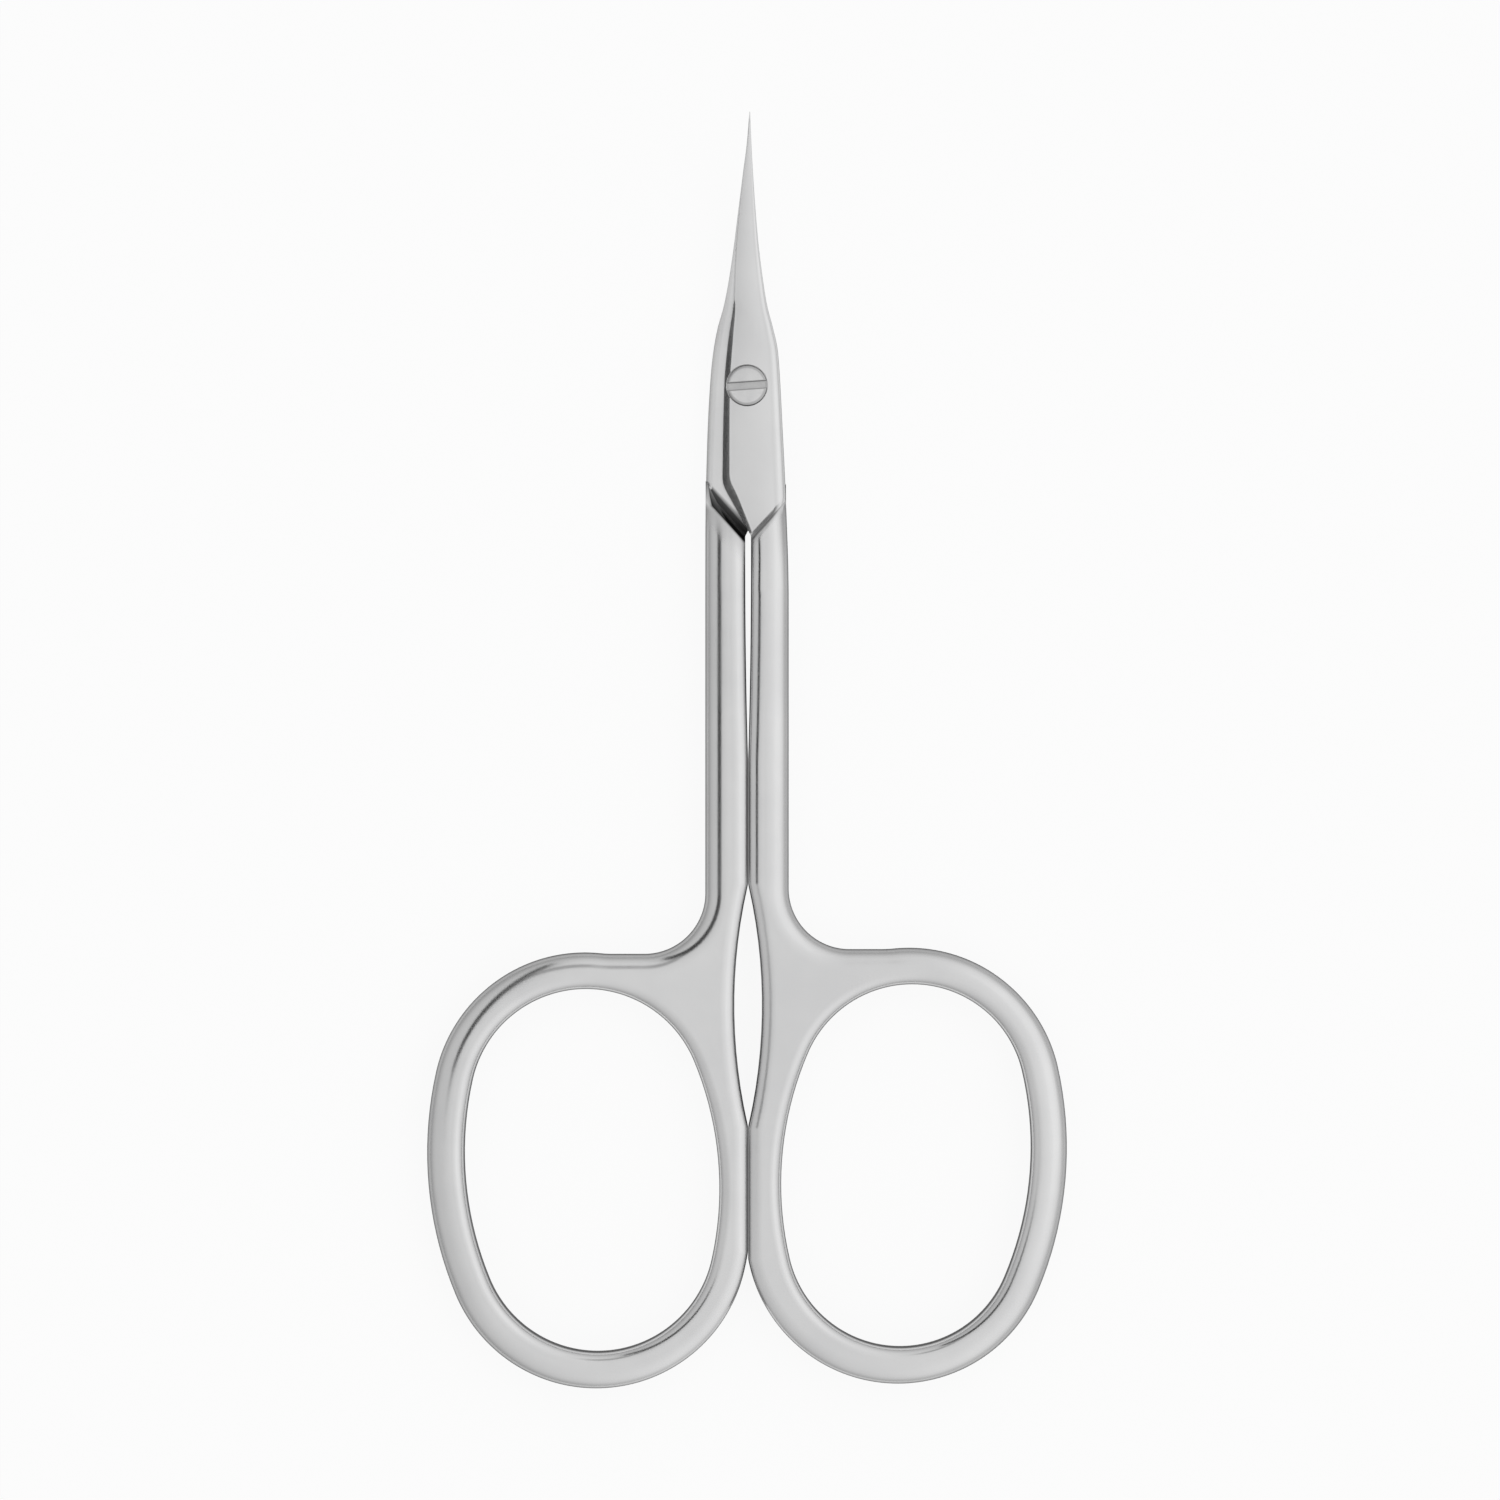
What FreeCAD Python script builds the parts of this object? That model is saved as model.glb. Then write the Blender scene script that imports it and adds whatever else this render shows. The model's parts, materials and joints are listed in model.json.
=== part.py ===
import FreeCAD, Part
import math
import os
import re
import Sketcher

# Cuticle scissors: two forged halves that cross at a half-lap joint and turn on one slotted screw.
# Both halves are drawn alike, with the ring to the right and the mating face down.  The upper half
# stays that way.  The lower half is turned over about the long axis, so its ring lies on the left.
# Lengths are in millimetres and angles in degrees.  In the sketches the pivot axis is x = 0, y = 0
# and the tip points along +y; the finished part has its origin under the middle of its length.

SIZES = {
    # Blades: distances along the long axis from the pivot
    "blade_length": 19.6,
    "root_distance": 2.5,
    "flare_distance": 4.6,
    "base_distance": 7.0,
    "middle_distance": 12.6,
    "narrow_distance": 17.0,
    # Blades: how far the tip curves up out of the plane and leans sideways, and how much further
    # the lower half's edge reaches past the long axis at the joint than the upper half's
    "blade_rise": 2.4,
    "tip_lean": 0.2,
    "joint_skew": 0.26,
    # Blades: cutting edge and blade back, sideways from the long axis
    "root_reach": 2.3,
    "flare_reach": 1.87,
    "base_reach": 1.33,
    "middle_reach": 0.6,
    "narrow_reach": 0.22,
    "tip_reach": 0.05,
    "root_back": 1.45,
    "flare_back": 1.42,
    "base_back": 1.28,
    "middle_back": 0.58,
    "narrow_back": 0.21,
    "tip_back": 0.05,
    # Blades: thickness of one blade, and the shares of its section taken by bevel and chamfer
    "flare_thickness": 1.15,
    "base_thickness": 1.0,
    "middle_thickness": 0.72,
    "narrow_thickness": 0.47,
    "tip_thickness": 0.28,
    "bevel_share": 0.3,
    "bevel_height_share": 0.6,
    "back_chamfer_share": 0.14,
    # Half-lap joint
    "lap_gap": 0.04,
    "face_step": 0.3,
    "joint_back": 1.76,
    "joint_back_top": 0.5,
    "plate_corner_radius": 1.5,
    "crotch_distance": 10.8,
    "heel_rise": 3.7,
    "shoulder_drop": 0.65,
    "shoulder_angle": 48.0,
    "shoulder_radius": 0.84,
    # Shanks
    "shank_thickness": 3.0,
    "shank_reach": 3.0,
    "joint_blend_distance": 13.0,
    "shank_relief_distance": 14.0,
    "shank_relief_depth": 0.25,
    "shank_relief_radius": 190.0,
    "edge_rounding": 1.25,
    # Finger rings
    "finger_hole_width": 18.2,
    "finger_hole_length": 26.2,
    "finger_hole_side_radius": 24.0,
    "finger_hole_rounding": 1.0,
    "ring_band": 2.6,
    "ring_tilt": 5.0,
    "ring_distance": 56.37,
    "ring_stagger": 0.34,
    "ring_stop_gap": 0.06,
    "ring_stop_grind": 0.5,
    "ring_stop_corner": 1.4,
    "web_drop": 0.1,
    "web_fillet": 4.4,
    "web_blend": 8.0,
    # Lens-shaped gap between the halves, above the flat where the rings meet
    "lens_rise": 13.0,
    "lens_depth": 1.0,
    "lens_radius": 39.0,
    # Pivot screw
    "head_diameter": 2.92,
    "head_height": 0.55,
    "head_proud": 0.04,
    "head_chamfer": 0.08,
    "slot_width": 0.55,
    "slot_depth": 0.32,
    "slot_turn": 4.0,
    "journal_diameter": 2.0,
    "thread_diameter": 1.7,
    "thread_end_recess": 0.1,
    # Clearances between the screw and the halves
    "running_clearance": 0.03,
    "head_clearance": 0.05,
    "seat_clearance": 0.02,
    "thread_clearance": 0.01,
    # How far a cutting sketch runs past the metal
    "overshoot": 6.0,
}

# Sizes that follow from the driving sizes
DERIVED = {
    "lap_level": "(shank_thickness + lap_gap) / 2",
    "plate_level": "shank_thickness - face_step",
    "plate_thickness": "plate_level - lap_level",
    "back_chamfer": "(root_reach + root_back) * back_chamfer_share",
    "root_bevel_height": "edge_rounding - face_step",
    "root_bevel": "edge_rounding - sqrt(edge_rounding ^ 2 - root_bevel_height ^ 2)",
    "heel_distance": "crotch_distance - heel_rise",
    "shoulder_distance": "crotch_distance + shoulder_drop",
    "lap_reach": "shoulder_distance + root_distance + overshoot",
    "crotch_rise": "crotch_distance - shank_relief_distance",
    "crotch_x": "shank_relief_depth - shank_relief_radius"
                " + sqrt(shank_relief_radius ^ 2 - crotch_rise ^ 2)",
    "hole_half_width": "finger_hole_width / 2",
    "hole_half_length": "finger_hole_length / 2",
    "hole_side_offset": "finger_hole_side_radius - hole_half_width",
    "hole_end_radius": "(finger_hole_side_radius ^ 2 - hole_side_offset ^ 2 - hole_half_length ^ 2)"
                       " / (2 * (finger_hole_side_radius - hole_half_length))",
    "hole_end_offset": "hole_half_length - hole_end_radius",
    "stop_half_gap": "ring_stop_gap / 2",
    "ring_half_span": "finger_hole_side_radius + ring_band - hole_side_offset * cos(ring_tilt)",
    "ring_half_height": "hole_end_offset * cos(ring_tilt) + hole_end_radius + ring_band",
    "ring_x": "stop_half_gap - ring_stop_grind + ring_half_span",
    "ring_top_x": "ring_x + hole_end_offset * sin(ring_tilt)",
    "upper_root_reach": "root_reach - joint_skew / 2",
    "lower_root_reach": "root_reach + joint_skew / 2",
    "upper_ring_y": "ring_stagger / 2 - ring_distance",
    "lower_ring_y": "0 - ring_stagger / 2 - ring_distance",
    "lens_distance": "ring_distance + hole_side_offset * sin(ring_tilt) - lens_rise",
    "overall_length": "blade_length + ring_half_height - lower_ring_y",
    "pivot_y": "overall_length / 2 - blade_length",
    "head_top": "plate_level + head_proud",
    "head_bottom": "head_top - head_height",
    "seat_depth": "plate_level - head_bottom + seat_clearance",
    "journal_bottom": "shank_thickness - lap_level + seat_clearance",
    "screw_end": "face_step + thread_end_recess",
}

STATIONS = ["root", "flare", "base", "middle", "narrow", "tip"]
TOUCH = 1e-3
UP = FreeCAD.Vector(0, 0, 1)

os.makedirs("parts", exist_ok=True)
doc = FreeCAD.newDocument("cuticle_scissors")
sheet = doc.addObject("Spreadsheet::Sheet", "sizes")


def fill_sheet():
    """Writes every driving size as a number and every derived size as a formula."""
    cells = [(alias, str(value)) for alias, value in SIZES.items()]
    cells += [(alias, "=" + formula) for alias, formula in DERIVED.items()]
    for row, (alias, content) in enumerate(cells, start=1):
        sheet.set(f"A{row}", alias)
        sheet.set(f"B{row}", content)
        sheet.setAlias(f"B{row}", alias)
    doc.recompute()


def sized(expression):
    """Points every size name in an expression at the sheet; function names are left alone."""
    return re.sub(r"\b[a-z]\w*\b(?!\()", r"sizes.\g<0>", expression)


def size(expression):
    """Works out an expression of size names as a number."""
    return float(sheet.evalExpression(sized(expression)))


def bind(thing, prop, expression):
    """Ties one property of a document object to an expression of size names."""
    thing.setExpression(prop, sized(expression))


def point(x, y):
    """Makes a sketch point from two expressions of size names."""
    return FreeCAD.Vector(size(x), size(y), 0)


# Sketches

def new_sketch(body, name, plane):
    """Adds a sketch on one of the body's own origin planes."""
    sketch = body.newObject("Sketcher::SketchObject", name)
    support = [p for p in body.Origin.OriginFeatures if getattr(p, "Role", "") == plane][0]
    sketch.AttachmentSupport = [(support, "")]
    sketch.MapMode = "FlatFace"
    return sketch


def relate(sketch, kind, *where):
    """Adds a constraint that carries no size."""
    sketch.addConstraint(Sketcher.Constraint(kind, *where))


def drive(sketch, name, expression, kind, *where):
    """Adds a named constraint whose value is an expression of size names."""
    index = sketch.addConstraint(Sketcher.Constraint(kind, *where, size(expression)))
    sketch.renameConstraint(index, name)
    bind(sketch, "Constraints." + name, expression)


def place(sketch, name, x, y, line, end):
    """Fixes one end of a sketch line by its two coordinates."""
    drive(sketch, name + "_x", x, "DistanceX", line, end)
    drive(sketch, name + "_y", y, "DistanceY", line, end)


def polygon(sketch, corners):
    """Draws a closed outline of straight lines through named corners."""
    points = [point(x, y) for _, x, y in corners]
    count = len(corners)
    for i in range(count):
        sketch.addGeometry(Part.LineSegment(points[i], points[(i + 1) % count]))
    for i in range(count):
        relate(sketch, "Coincident", i, 2, (i + 1) % count, 1)
    for i, (name, x, y) in enumerate(corners):
        place(sketch, name, x, y, i, 1)


def disc(sketch, radius, x=None, y=None):
    """Draws one circle, on the pivot axis unless a centre is given."""
    on_axis = x is None
    centre = FreeCAD.Vector() if on_axis else point(x, y)
    sketch.addGeometry(Part.Circle(centre, UP, size(radius)))
    if on_axis:
        relate(sketch, "Coincident", 0, 3, -1, 1)
    else:
        place(sketch, "centre", x, y, 0, 3)
    drive(sketch, "radius", radius, "Radius", 0)


def oval(sketch, grow, ring_y):
    """Draws the ring's oval from two end arcs and two side arcs, all tangent.

    The oval stands upright in its sketch, and the sketch is moved to the ring's centre and
    leaned outward.  grow widens the finger hole's oval all round.
    """
    end_radius = "hole_end_radius + " + grow
    side_radius = "finger_hole_side_radius + " + grow
    end = size("hole_end_offset")
    side = size("hole_side_offset")
    turn = math.atan2(end, side)
    arcs = [
        (FreeCAD.Vector(0, end, 0), end_radius, turn, math.pi - turn),
        (FreeCAD.Vector(side, 0, 0), side_radius, math.pi - turn, math.pi + turn),
        (FreeCAD.Vector(0, -end, 0), end_radius, math.pi + turn, 2 * math.pi - turn),
        (FreeCAD.Vector(-side, 0, 0), side_radius, -turn, turn),
    ]
    for centre, radius, start, stop in arcs:
        sketch.addGeometry(Part.ArcOfCircle(Part.Circle(centre, UP, size(radius)), start, stop))
    for i in range(4):
        relate(sketch, "Tangent", i, 2, (i + 1) % 4, 1)
    relate(sketch, "PointOnObject", 0, 3, -2)
    relate(sketch, "Symmetric", 0, 3, 2, 3, -1, 1)
    relate(sketch, "Equal", 0, 2)
    relate(sketch, "Equal", 1, 3)
    drive(sketch, "end_offset", "hole_end_offset", "DistanceY", 0, 3)
    drive(sketch, "end_radius", end_radius, "Radius", 0)
    drive(sketch, "side_radius", side_radius, "Radius", 1)
    sketch.AttachmentOffset = FreeCAD.Placement(FreeCAD.Vector(), FreeCAD.Rotation(UP, -1))
    bind(sketch, "AttachmentOffset.Base.x", "ring_x")
    bind(sketch, "AttachmentOffset.Base.y", ring_y)
    bind(sketch, "AttachmentOffset.Rotation.Angle", "0 - ring_tilt")


def shank_sketch(body, ring_y, root_reach):
    """Draws the plan of the shank, its web to the ring and the outer side of the joint."""
    sketch = new_sketch(body, "shank_plan", "XY_Plane")
    web_y = f"{ring_y} + ring_half_height - web_drop"
    stop_y = f"{ring_y} - hole_side_offset * sin(ring_tilt)"
    corners = [
        ("blend", "shank_reach", "0 - joint_blend_distance"),
        ("root_edge", root_reach, "root_distance"),
        ("root_middle", "stop_half_gap", "root_distance"),
        ("stop", "stop_half_gap", stop_y),
        ("web_low", "ring_top_x", stop_y),
        ("web_high", "ring_top_x", web_y),
        ("web_corner", "shank_reach", web_y),
    ]
    points = [point(x, y) for _, x, y in corners]
    last = len(corners) - 1
    rise = points[1].y - points[0].y
    inset = points[0].x - points[1].x
    radius = (rise ** 2 + inset ** 2) / (2 * inset)
    side = Part.Circle(points[0] - FreeCAD.Vector(radius, 0, 0), UP, radius)
    sketch.addGeometry(Part.ArcOfCircle(side, 0, math.asin(rise / radius)))
    for i in range(1, last):
        sketch.addGeometry(Part.LineSegment(points[i], points[i + 1]))
    sketch.addGeometry(Part.LineSegment(points[last], points[0]))
    for i in range(last):
        relate(sketch, "Coincident", i, 2, i + 1, 1)
    relate(sketch, "Tangent", last, 2, 0, 1)
    relate(sketch, "Vertical", last)
    drive(sketch, "blend_y", corners[0][2], "DistanceY", 0, 1)
    for i in range(1, last + 1):
        place(sketch, *corners[i], i, 1)
    return sketch


def plate_sketch(body):
    """Draws the part of the joint plate that crosses to the other side of the long axis."""
    sketch = new_sketch(body, "plate_plan", "XY_Plane")
    inside = "shank_reach / 2"
    polygon(sketch, [
        ("root_inside", inside, "root_distance"),
        ("root_back", "0 - root_back", "root_distance"),
        ("back_top", "0 - joint_back", "joint_back_top"),
        ("heel", "0 - joint_back", "0 - heel_distance"),
        ("crotch", "crotch_x", "0 - crotch_distance"),
        ("crotch_inside", inside, "0 - crotch_distance"),
    ])
    return sketch


def stop_sketch(body, ring_y):
    """Draws the strip ground off the ring where it meets the other ring."""
    sketch = new_sketch(body, "stop_plan", "XY_Plane")
    low = f"{ring_y} - ring_half_height - overshoot"
    polygon(sketch, [
        ("high_in", "0 - overshoot", "0 - lens_distance"),
        ("low_in", "0 - overshoot", low),
        ("low_out", "stop_half_gap", low),
        ("high_out", "stop_half_gap", "0 - lens_distance"),
    ])
    return sketch


def shoulder_sketch(body, name):
    """Adds a sketch that looks along the shoulder line, with x running toward the tip."""
    sketch = new_sketch(body, name, "XZ_Plane")
    across = FreeCAD.Rotation(FreeCAD.Vector(0, 1, 0), 90)
    sketch.AttachmentOffset = FreeCAD.Placement(FreeCAD.Vector(), across)
    bind(sketch, "AttachmentOffset.Base.z", "shoulder_distance")
    bind(sketch, "AttachmentOffset.Rotation.Angle", "90 + shoulder_angle")
    return sketch


def lap_sketch(body):
    """Draws the metal ground off the mating side: upright shoulder, round root and lap face."""
    sketch = shoulder_sketch(body, "lap_profile")
    low = "0 - overshoot"
    spring = FreeCAD.Vector(0, size("lap_level - shoulder_radius"), 0)
    foot = FreeCAD.Vector(0, size(low), 0)
    far_low = point("lap_reach", low)
    far_high = point("lap_reach", "lap_level")
    near_high = point("shoulder_radius", "lap_level")
    root = Part.Circle(spring + FreeCAD.Vector(near_high.x, 0, 0), UP, near_high.x)
    sketch.addGeometry(Part.ArcOfCircle(root, math.pi / 2, math.pi))
    sketch.addGeometry(Part.LineSegment(spring, foot))
    sketch.addGeometry(Part.LineSegment(foot, far_low))
    sketch.addGeometry(Part.LineSegment(far_low, far_high))
    sketch.addGeometry(Part.LineSegment(far_high, near_high))
    relate(sketch, "Tangent", 0, 2, 1, 1)
    for i in range(1, 4):
        relate(sketch, "Coincident", i, 2, i + 1, 1)
    relate(sketch, "Tangent", 4, 2, 0, 1)
    relate(sketch, "PointOnObject", 1, 1, -2)
    relate(sketch, "Vertical", 1)
    relate(sketch, "Horizontal", 2)
    relate(sketch, "Vertical", 3)
    relate(sketch, "Horizontal", 4)
    drive(sketch, "root_radius", "shoulder_radius", "Radius", 0)
    place(sketch, "far", "lap_reach", "lap_level", 4, 1)
    drive(sketch, "low", low, "DistanceY", 2, 1)
    return sketch


def face_sketch(body):
    """Draws the thin layer ground off the outer face of the joint plate."""
    sketch = shoulder_sketch(body, "face_profile")
    high = "shank_thickness + overshoot"
    polygon(sketch, [
        ("wall_low", "face_step / 2", "plate_level"),
        ("far_low", "lap_reach", "plate_level"),
        ("far_high", "lap_reach", high),
        ("wall_high", "0 - face_step", high),
        ("wall_foot", "0 - face_step / 2", "shank_thickness"),
    ])
    return sketch


def section_sketch(body, station, lean, curve):
    """Draws the blade's section at one station.

    lean and curve are 1 or -1: which way the tip leans and which way the blade curves here.
    """
    sketch = new_sketch(body, station + "_section", "XZ_Plane")
    distance = "blade_length" if station == "tip" else station + "_distance"
    reach = station + "_reach"
    back = station + "_back"
    width = f"({reach} + {back})"
    thickness = station + "_thickness"
    bevel = f"bevel_share * {width}"
    bevel_height = f"bevel_height_share * {thickness}"
    if station == "root":
        thickness = "plate_thickness"
        bevel = "root_bevel"
        bevel_height = "root_bevel_height"
    chamfer = f"back_chamfer_share * {width}"
    along = f"(({distance} - root_distance) / (blade_length - root_distance))"
    shift = f"{lean} * tip_lean * {along} ^ 2"
    floor = f"lap_level + {curve} * blade_rise * {along} ^ 2"
    edge = f"{shift} + {reach} - {lean} * joint_skew / 2 * (1 - {along})"
    polygon(sketch, [
        ("floor_back", f"{shift} - {back}", floor),
        ("floor_edge", edge, floor),
        ("bevel_low", edge, f"{floor} + {thickness} - {bevel_height}"),
        ("bevel_high", f"{edge} - {bevel}", f"{floor} + {thickness}"),
        ("chamfer_high", f"{shift} - {back} + {chamfer}", f"{floor} + {thickness}"),
        ("chamfer_low", f"{shift} - {back}", f"{floor} + {thickness} - {chamfer}"),
    ])
    bind(sketch, "AttachmentOffset.Base.z", "0 - " + distance)
    return sketch


# Features

def pad(body, sketch, name, length):
    """Raises a sketch into metal."""
    feature = body.newObject("PartDesign::Pad", name)
    feature.Profile = sketch
    bind(feature, "Length", length)
    doc.recompute()
    return feature


def cut(body, sketch, name, length=None):
    """Cuts a sketch out of the metal: down to a length, or right through both ways."""
    before = body.Shape.Volume
    feature = body.newObject("PartDesign::Pocket", name)
    feature.Profile = sketch
    if length is None:
        feature.Type = "ThroughAll"
        feature.SideType = "Symmetric"
    else:
        bind(feature, "Length", length)
    doc.recompute()
    if not body.Shape.Volume < before:
        raise RuntimeError(name + " removed no metal")
    return feature


def edges_where(feature, test):
    """Names the edges of a feature whose middle point and box pass a test."""
    names = []
    for number, edge in enumerate(feature.Shape.Edges, start=1):
        middle = edge.valueAt((edge.FirstParameter + edge.LastParameter) / 2)
        if test(middle, edge.BoundBox):
            names.append(f"Edge{number}")
    return names


def upright_edges(feature, test):
    """Names the straight upright edges whose middle point passes a test."""
    def upright(middle, box):
        return max(box.XLength, box.YLength) < TOUCH < box.ZLength and test(middle)
    return edges_where(feature, upright)


def flat_edges(feature, levels, test):
    """Names the edges that lie flat at one of the levels and pass a test."""
    def flat(middle, box):
        level = any(abs(middle.z - z) < TOUCH for z in levels)
        return level and box.ZLength < TOUCH and test(middle, box)
    return edges_where(feature, flat)


def dress(body, kind, name, feature, edges, amount):
    """Adds a fillet or a chamfer to edges of the last feature."""
    if not edges:
        raise RuntimeError(name + " found no edges")
    dressing = body.newObject("PartDesign::" + kind, name)
    dressing.Base = (feature, edges)
    bind(dressing, "Radius" if kind == "Fillet" else "Size", amount)
    doc.recompute()
    return dressing


# One half of the scissors

def add_outline(body, ring_y, root_reach):
    """Builds shank, ring and joint plate at full thickness and softens the plan's corners."""
    pad(body, shank_sketch(body, ring_y, root_reach), "shank", "shank_thickness")
    ring = new_sketch(body, "ring_plan", "XY_Plane")
    oval(ring, "ring_band", ring_y)
    pad(body, ring, "ring", "shank_thickness")
    cut(body, stop_sketch(body, ring_y), "ring_stop")

    lens = new_sketch(body, "lens_plan", "XY_Plane")
    disc(lens, "lens_radius", "lens_depth - lens_radius", "0 - lens_distance")
    cut(body, lens, "lens")
    relief = new_sketch(body, "relief_plan", "XY_Plane")
    disc(relief, "shank_relief_radius", "shank_relief_depth - shank_relief_radius",
         "0 - shank_relief_distance")
    cut(body, relief, "shank_relief")
    feature = pad(body, plate_sketch(body), "joint_plate", "shank_thickness")

    web_y = size(f"{ring_y} + ring_half_height - web_drop")
    edges = upright_edges(feature, lambda m: abs(m.y - web_y) < TOUCH
                          and abs(m.x - size("shank_reach")) < TOUCH)
    feature = dress(body, "Fillet", "web_corner", feature, edges, "web_fillet")
    edges = upright_edges(feature, lambda m: abs(m.y - web_y) < TOUCH
                          and m.x > size("shank_reach + web_fillet") + TOUCH)
    feature = dress(body, "Fillet", "web_run", feature, edges, "web_blend")
    edges = upright_edges(feature, lambda m: abs(m.x - size("stop_half_gap")) < TOUCH
                          and m.y < -size("shoulder_distance"))
    feature = dress(body, "Fillet", "stop_corners", feature, edges, "ring_stop_corner")
    edges = upright_edges(feature, lambda m: abs(m.x + size("joint_back")) < TOUCH)
    return dress(body, "Fillet", "plate_corners", feature, edges, "plate_corner_radius")


def add_ring_hole(body, ring_y, feature):
    """Rounds the outer rims, cuts the finger hole and rounds its rims."""
    faces = (0, size("shank_thickness"))
    root = size("root_distance")
    crotch = -size("crotch_distance")
    inside = size("shank_reach / 2")

    def outer(middle, box):
        plate = middle.y > crotch - TOUCH and middle.x < inside
        return middle.y < root - TOUCH and not plate

    edges = flat_edges(feature, faces, outer)
    dress(body, "Fillet", "rim_rounding", feature, edges, "edge_rounding")

    hole = new_sketch(body, "finger_hole_plan", "XY_Plane")
    oval(hole, "0", ring_y)
    feature = cut(body, hole, "finger_hole")
    centre = point("ring_x", ring_y)
    wide = size("hole_half_width + ring_band / 2")
    long = size("hole_half_length + ring_band / 2")

    def around_hole(middle, box):
        return (abs(middle.x - centre.x) < wide and abs(middle.y - centre.y) < long
                and abs(box.Center.x - centre.x) < wide and box.YMax < centre.y + long)

    edges = flat_edges(feature, faces, around_hole)
    dress(body, "Fillet", "finger_hole_rims", feature, edges, "finger_hole_rounding")


def add_lap(body):
    """Grinds the mating side to the lap face and thins the outer face of the joint plate."""
    cut(body, lap_sketch(body), "lap_face")
    feature = cut(body, face_sketch(body), "plate_face")
    root = size("root_distance")
    crotch_x = size("crotch_x")
    level = size("plate_level")
    edges = flat_edges(feature, (level,), lambda m, box: box.XMax < crotch_x + TOUCH
                       and m.y < root - TOUCH)
    dress(body, "Chamfer", "plate_back", feature, edges, "back_chamfer")


def add_blade(body, lean, curve):
    """Lofts the blade through its sections from the joint plate to the tip."""
    sections = [section_sketch(body, station, lean, curve) for station in STATIONS]
    doc.recompute()
    loft = body.newObject("PartDesign::AdditiveLoft", "blade")
    loft.Profile = sections[0]
    loft.Sections = sections[1:]
    doc.recompute()


def add_bore(body, name, radius):
    """Bores the joint plate on the pivot axis."""
    sketch = new_sketch(body, name + "_plan", "XY_Plane")
    disc(sketch, radius)
    cut(body, sketch, name)


def add_screw_seat(body):
    """Sinks the seat for the screw's head into the outer face of the joint plate."""
    sketch = new_sketch(body, "seat_plan", "XY_Plane")
    disc(sketch, "head_diameter / 2 + head_clearance")
    bind(sketch, "AttachmentOffset.Base.z", "plate_level")
    cut(body, sketch, "screw_seat", "seat_depth")


def new_body(label):
    """Adds an empty body under its own label."""
    body = doc.addObject("PartDesign::Body", label)
    body.Label = label
    return body


def half(label, side, lean, curve):
    """Builds one half up to its bore: shank, ring, joint plate and blade."""
    body = new_body(label)
    ring_y = side + "_ring_y"
    feature = add_outline(body, ring_y, side + "_root_reach")
    add_ring_hole(body, ring_y, feature)
    add_lap(body)
    add_blade(body, lean, curve)
    return body


def upper_half():
    """Builds the half on top: right ring, running bore and seat for the screw's head."""
    body = half("upper_half", "upper", 1, 1)
    add_bore(body, "journal_bore", "journal_diameter / 2 + running_clearance")
    add_screw_seat(body)
    bind(body, "Placement.Base.y", "pivot_y")
    return body


def lower_half():
    """Builds the half underneath: left ring and threaded hole, turned over in place."""
    body = half("lower_half", "lower", -1, -1)
    add_bore(body, "thread_bore", "thread_diameter / 2 + thread_clearance")
    turned = FreeCAD.Rotation(FreeCAD.Vector(0, 1, 0), 180)
    body.Placement = FreeCAD.Placement(FreeCAD.Vector(), turned)
    bind(body, "Placement.Base.y", "pivot_y")
    bind(body, "Placement.Base.z", "shank_thickness")
    return body


# The screw

def pivot_screw():
    """Turns the screw's profile about the pivot axis and cuts the slot in its head."""
    body = new_body("pivot_screw")
    profile = new_sketch(body, "screw_profile", "XZ_Plane")
    polygon(profile, [
        ("end_middle", "0", "screw_end"),
        ("end_rim", "thread_diameter / 2 - head_chamfer", "screw_end"),
        ("thread_low", "thread_diameter / 2", "screw_end + head_chamfer"),
        ("thread_high", "thread_diameter / 2", "journal_bottom"),
        ("journal_low", "journal_diameter / 2", "journal_bottom"),
        ("journal_high", "journal_diameter / 2", "head_bottom"),
        ("head_low", "head_diameter / 2", "head_bottom"),
        ("head_side", "head_diameter / 2", "head_top - head_chamfer"),
        ("head_rim", "head_diameter / 2 - head_chamfer", "head_top"),
        ("head_middle", "0", "head_top"),
    ])
    turned = body.newObject("PartDesign::Revolution", "turned_screw")
    turned.Profile = profile
    turned.ReferenceAxis = (profile, ["V_Axis"])
    doc.recompute()

    slot = new_sketch(body, "slot_plan", "XY_Plane")
    along = "head_diameter / 2 + overshoot"
    polygon(slot, [
        ("left_low", f"0 - ({along})", "0 - slot_width / 2"),
        ("right_low", along, "0 - slot_width / 2"),
        ("right_high", along, "slot_width / 2"),
        ("left_high", f"0 - ({along})", "slot_width / 2"),
    ])
    slot.AttachmentOffset = FreeCAD.Placement(FreeCAD.Vector(), FreeCAD.Rotation(UP, 1))
    bind(slot, "AttachmentOffset.Base.z", "head_top")
    bind(slot, "AttachmentOffset.Rotation.Angle", "slot_turn")
    cut(body, slot, "driver_slot", "slot_depth")
    bind(body, "Placement.Base.y", "pivot_y")
    return body


def check(pieces):
    """Stops the build if any object failed or any piece isn't one valid solid."""
    for item in doc.Objects:
        if "Invalid" in item.State or "Error" in item.State:
            raise RuntimeError(f"{item.Name} failed: {item.State}")
    for piece in pieces:
        shape = piece.Shape
        if shape.isNull() or not shape.isValid() or len(shape.Solids) != 1:
            raise RuntimeError(piece.Label + " isn't one valid solid")


fill_sheet()
pieces = [upper_half(), lower_half(), pivot_screw()]
doc.recompute()
check(pieces)
for piece in pieces:
    piece.Shape.exportStep(f"parts/{piece.Label}.step")
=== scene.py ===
import json
import logging
import math
from collections.abc import Callable
from dataclasses import dataclass
from enum import Enum

import bmesh
import bpy
from mathutils import Matrix, Vector


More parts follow.
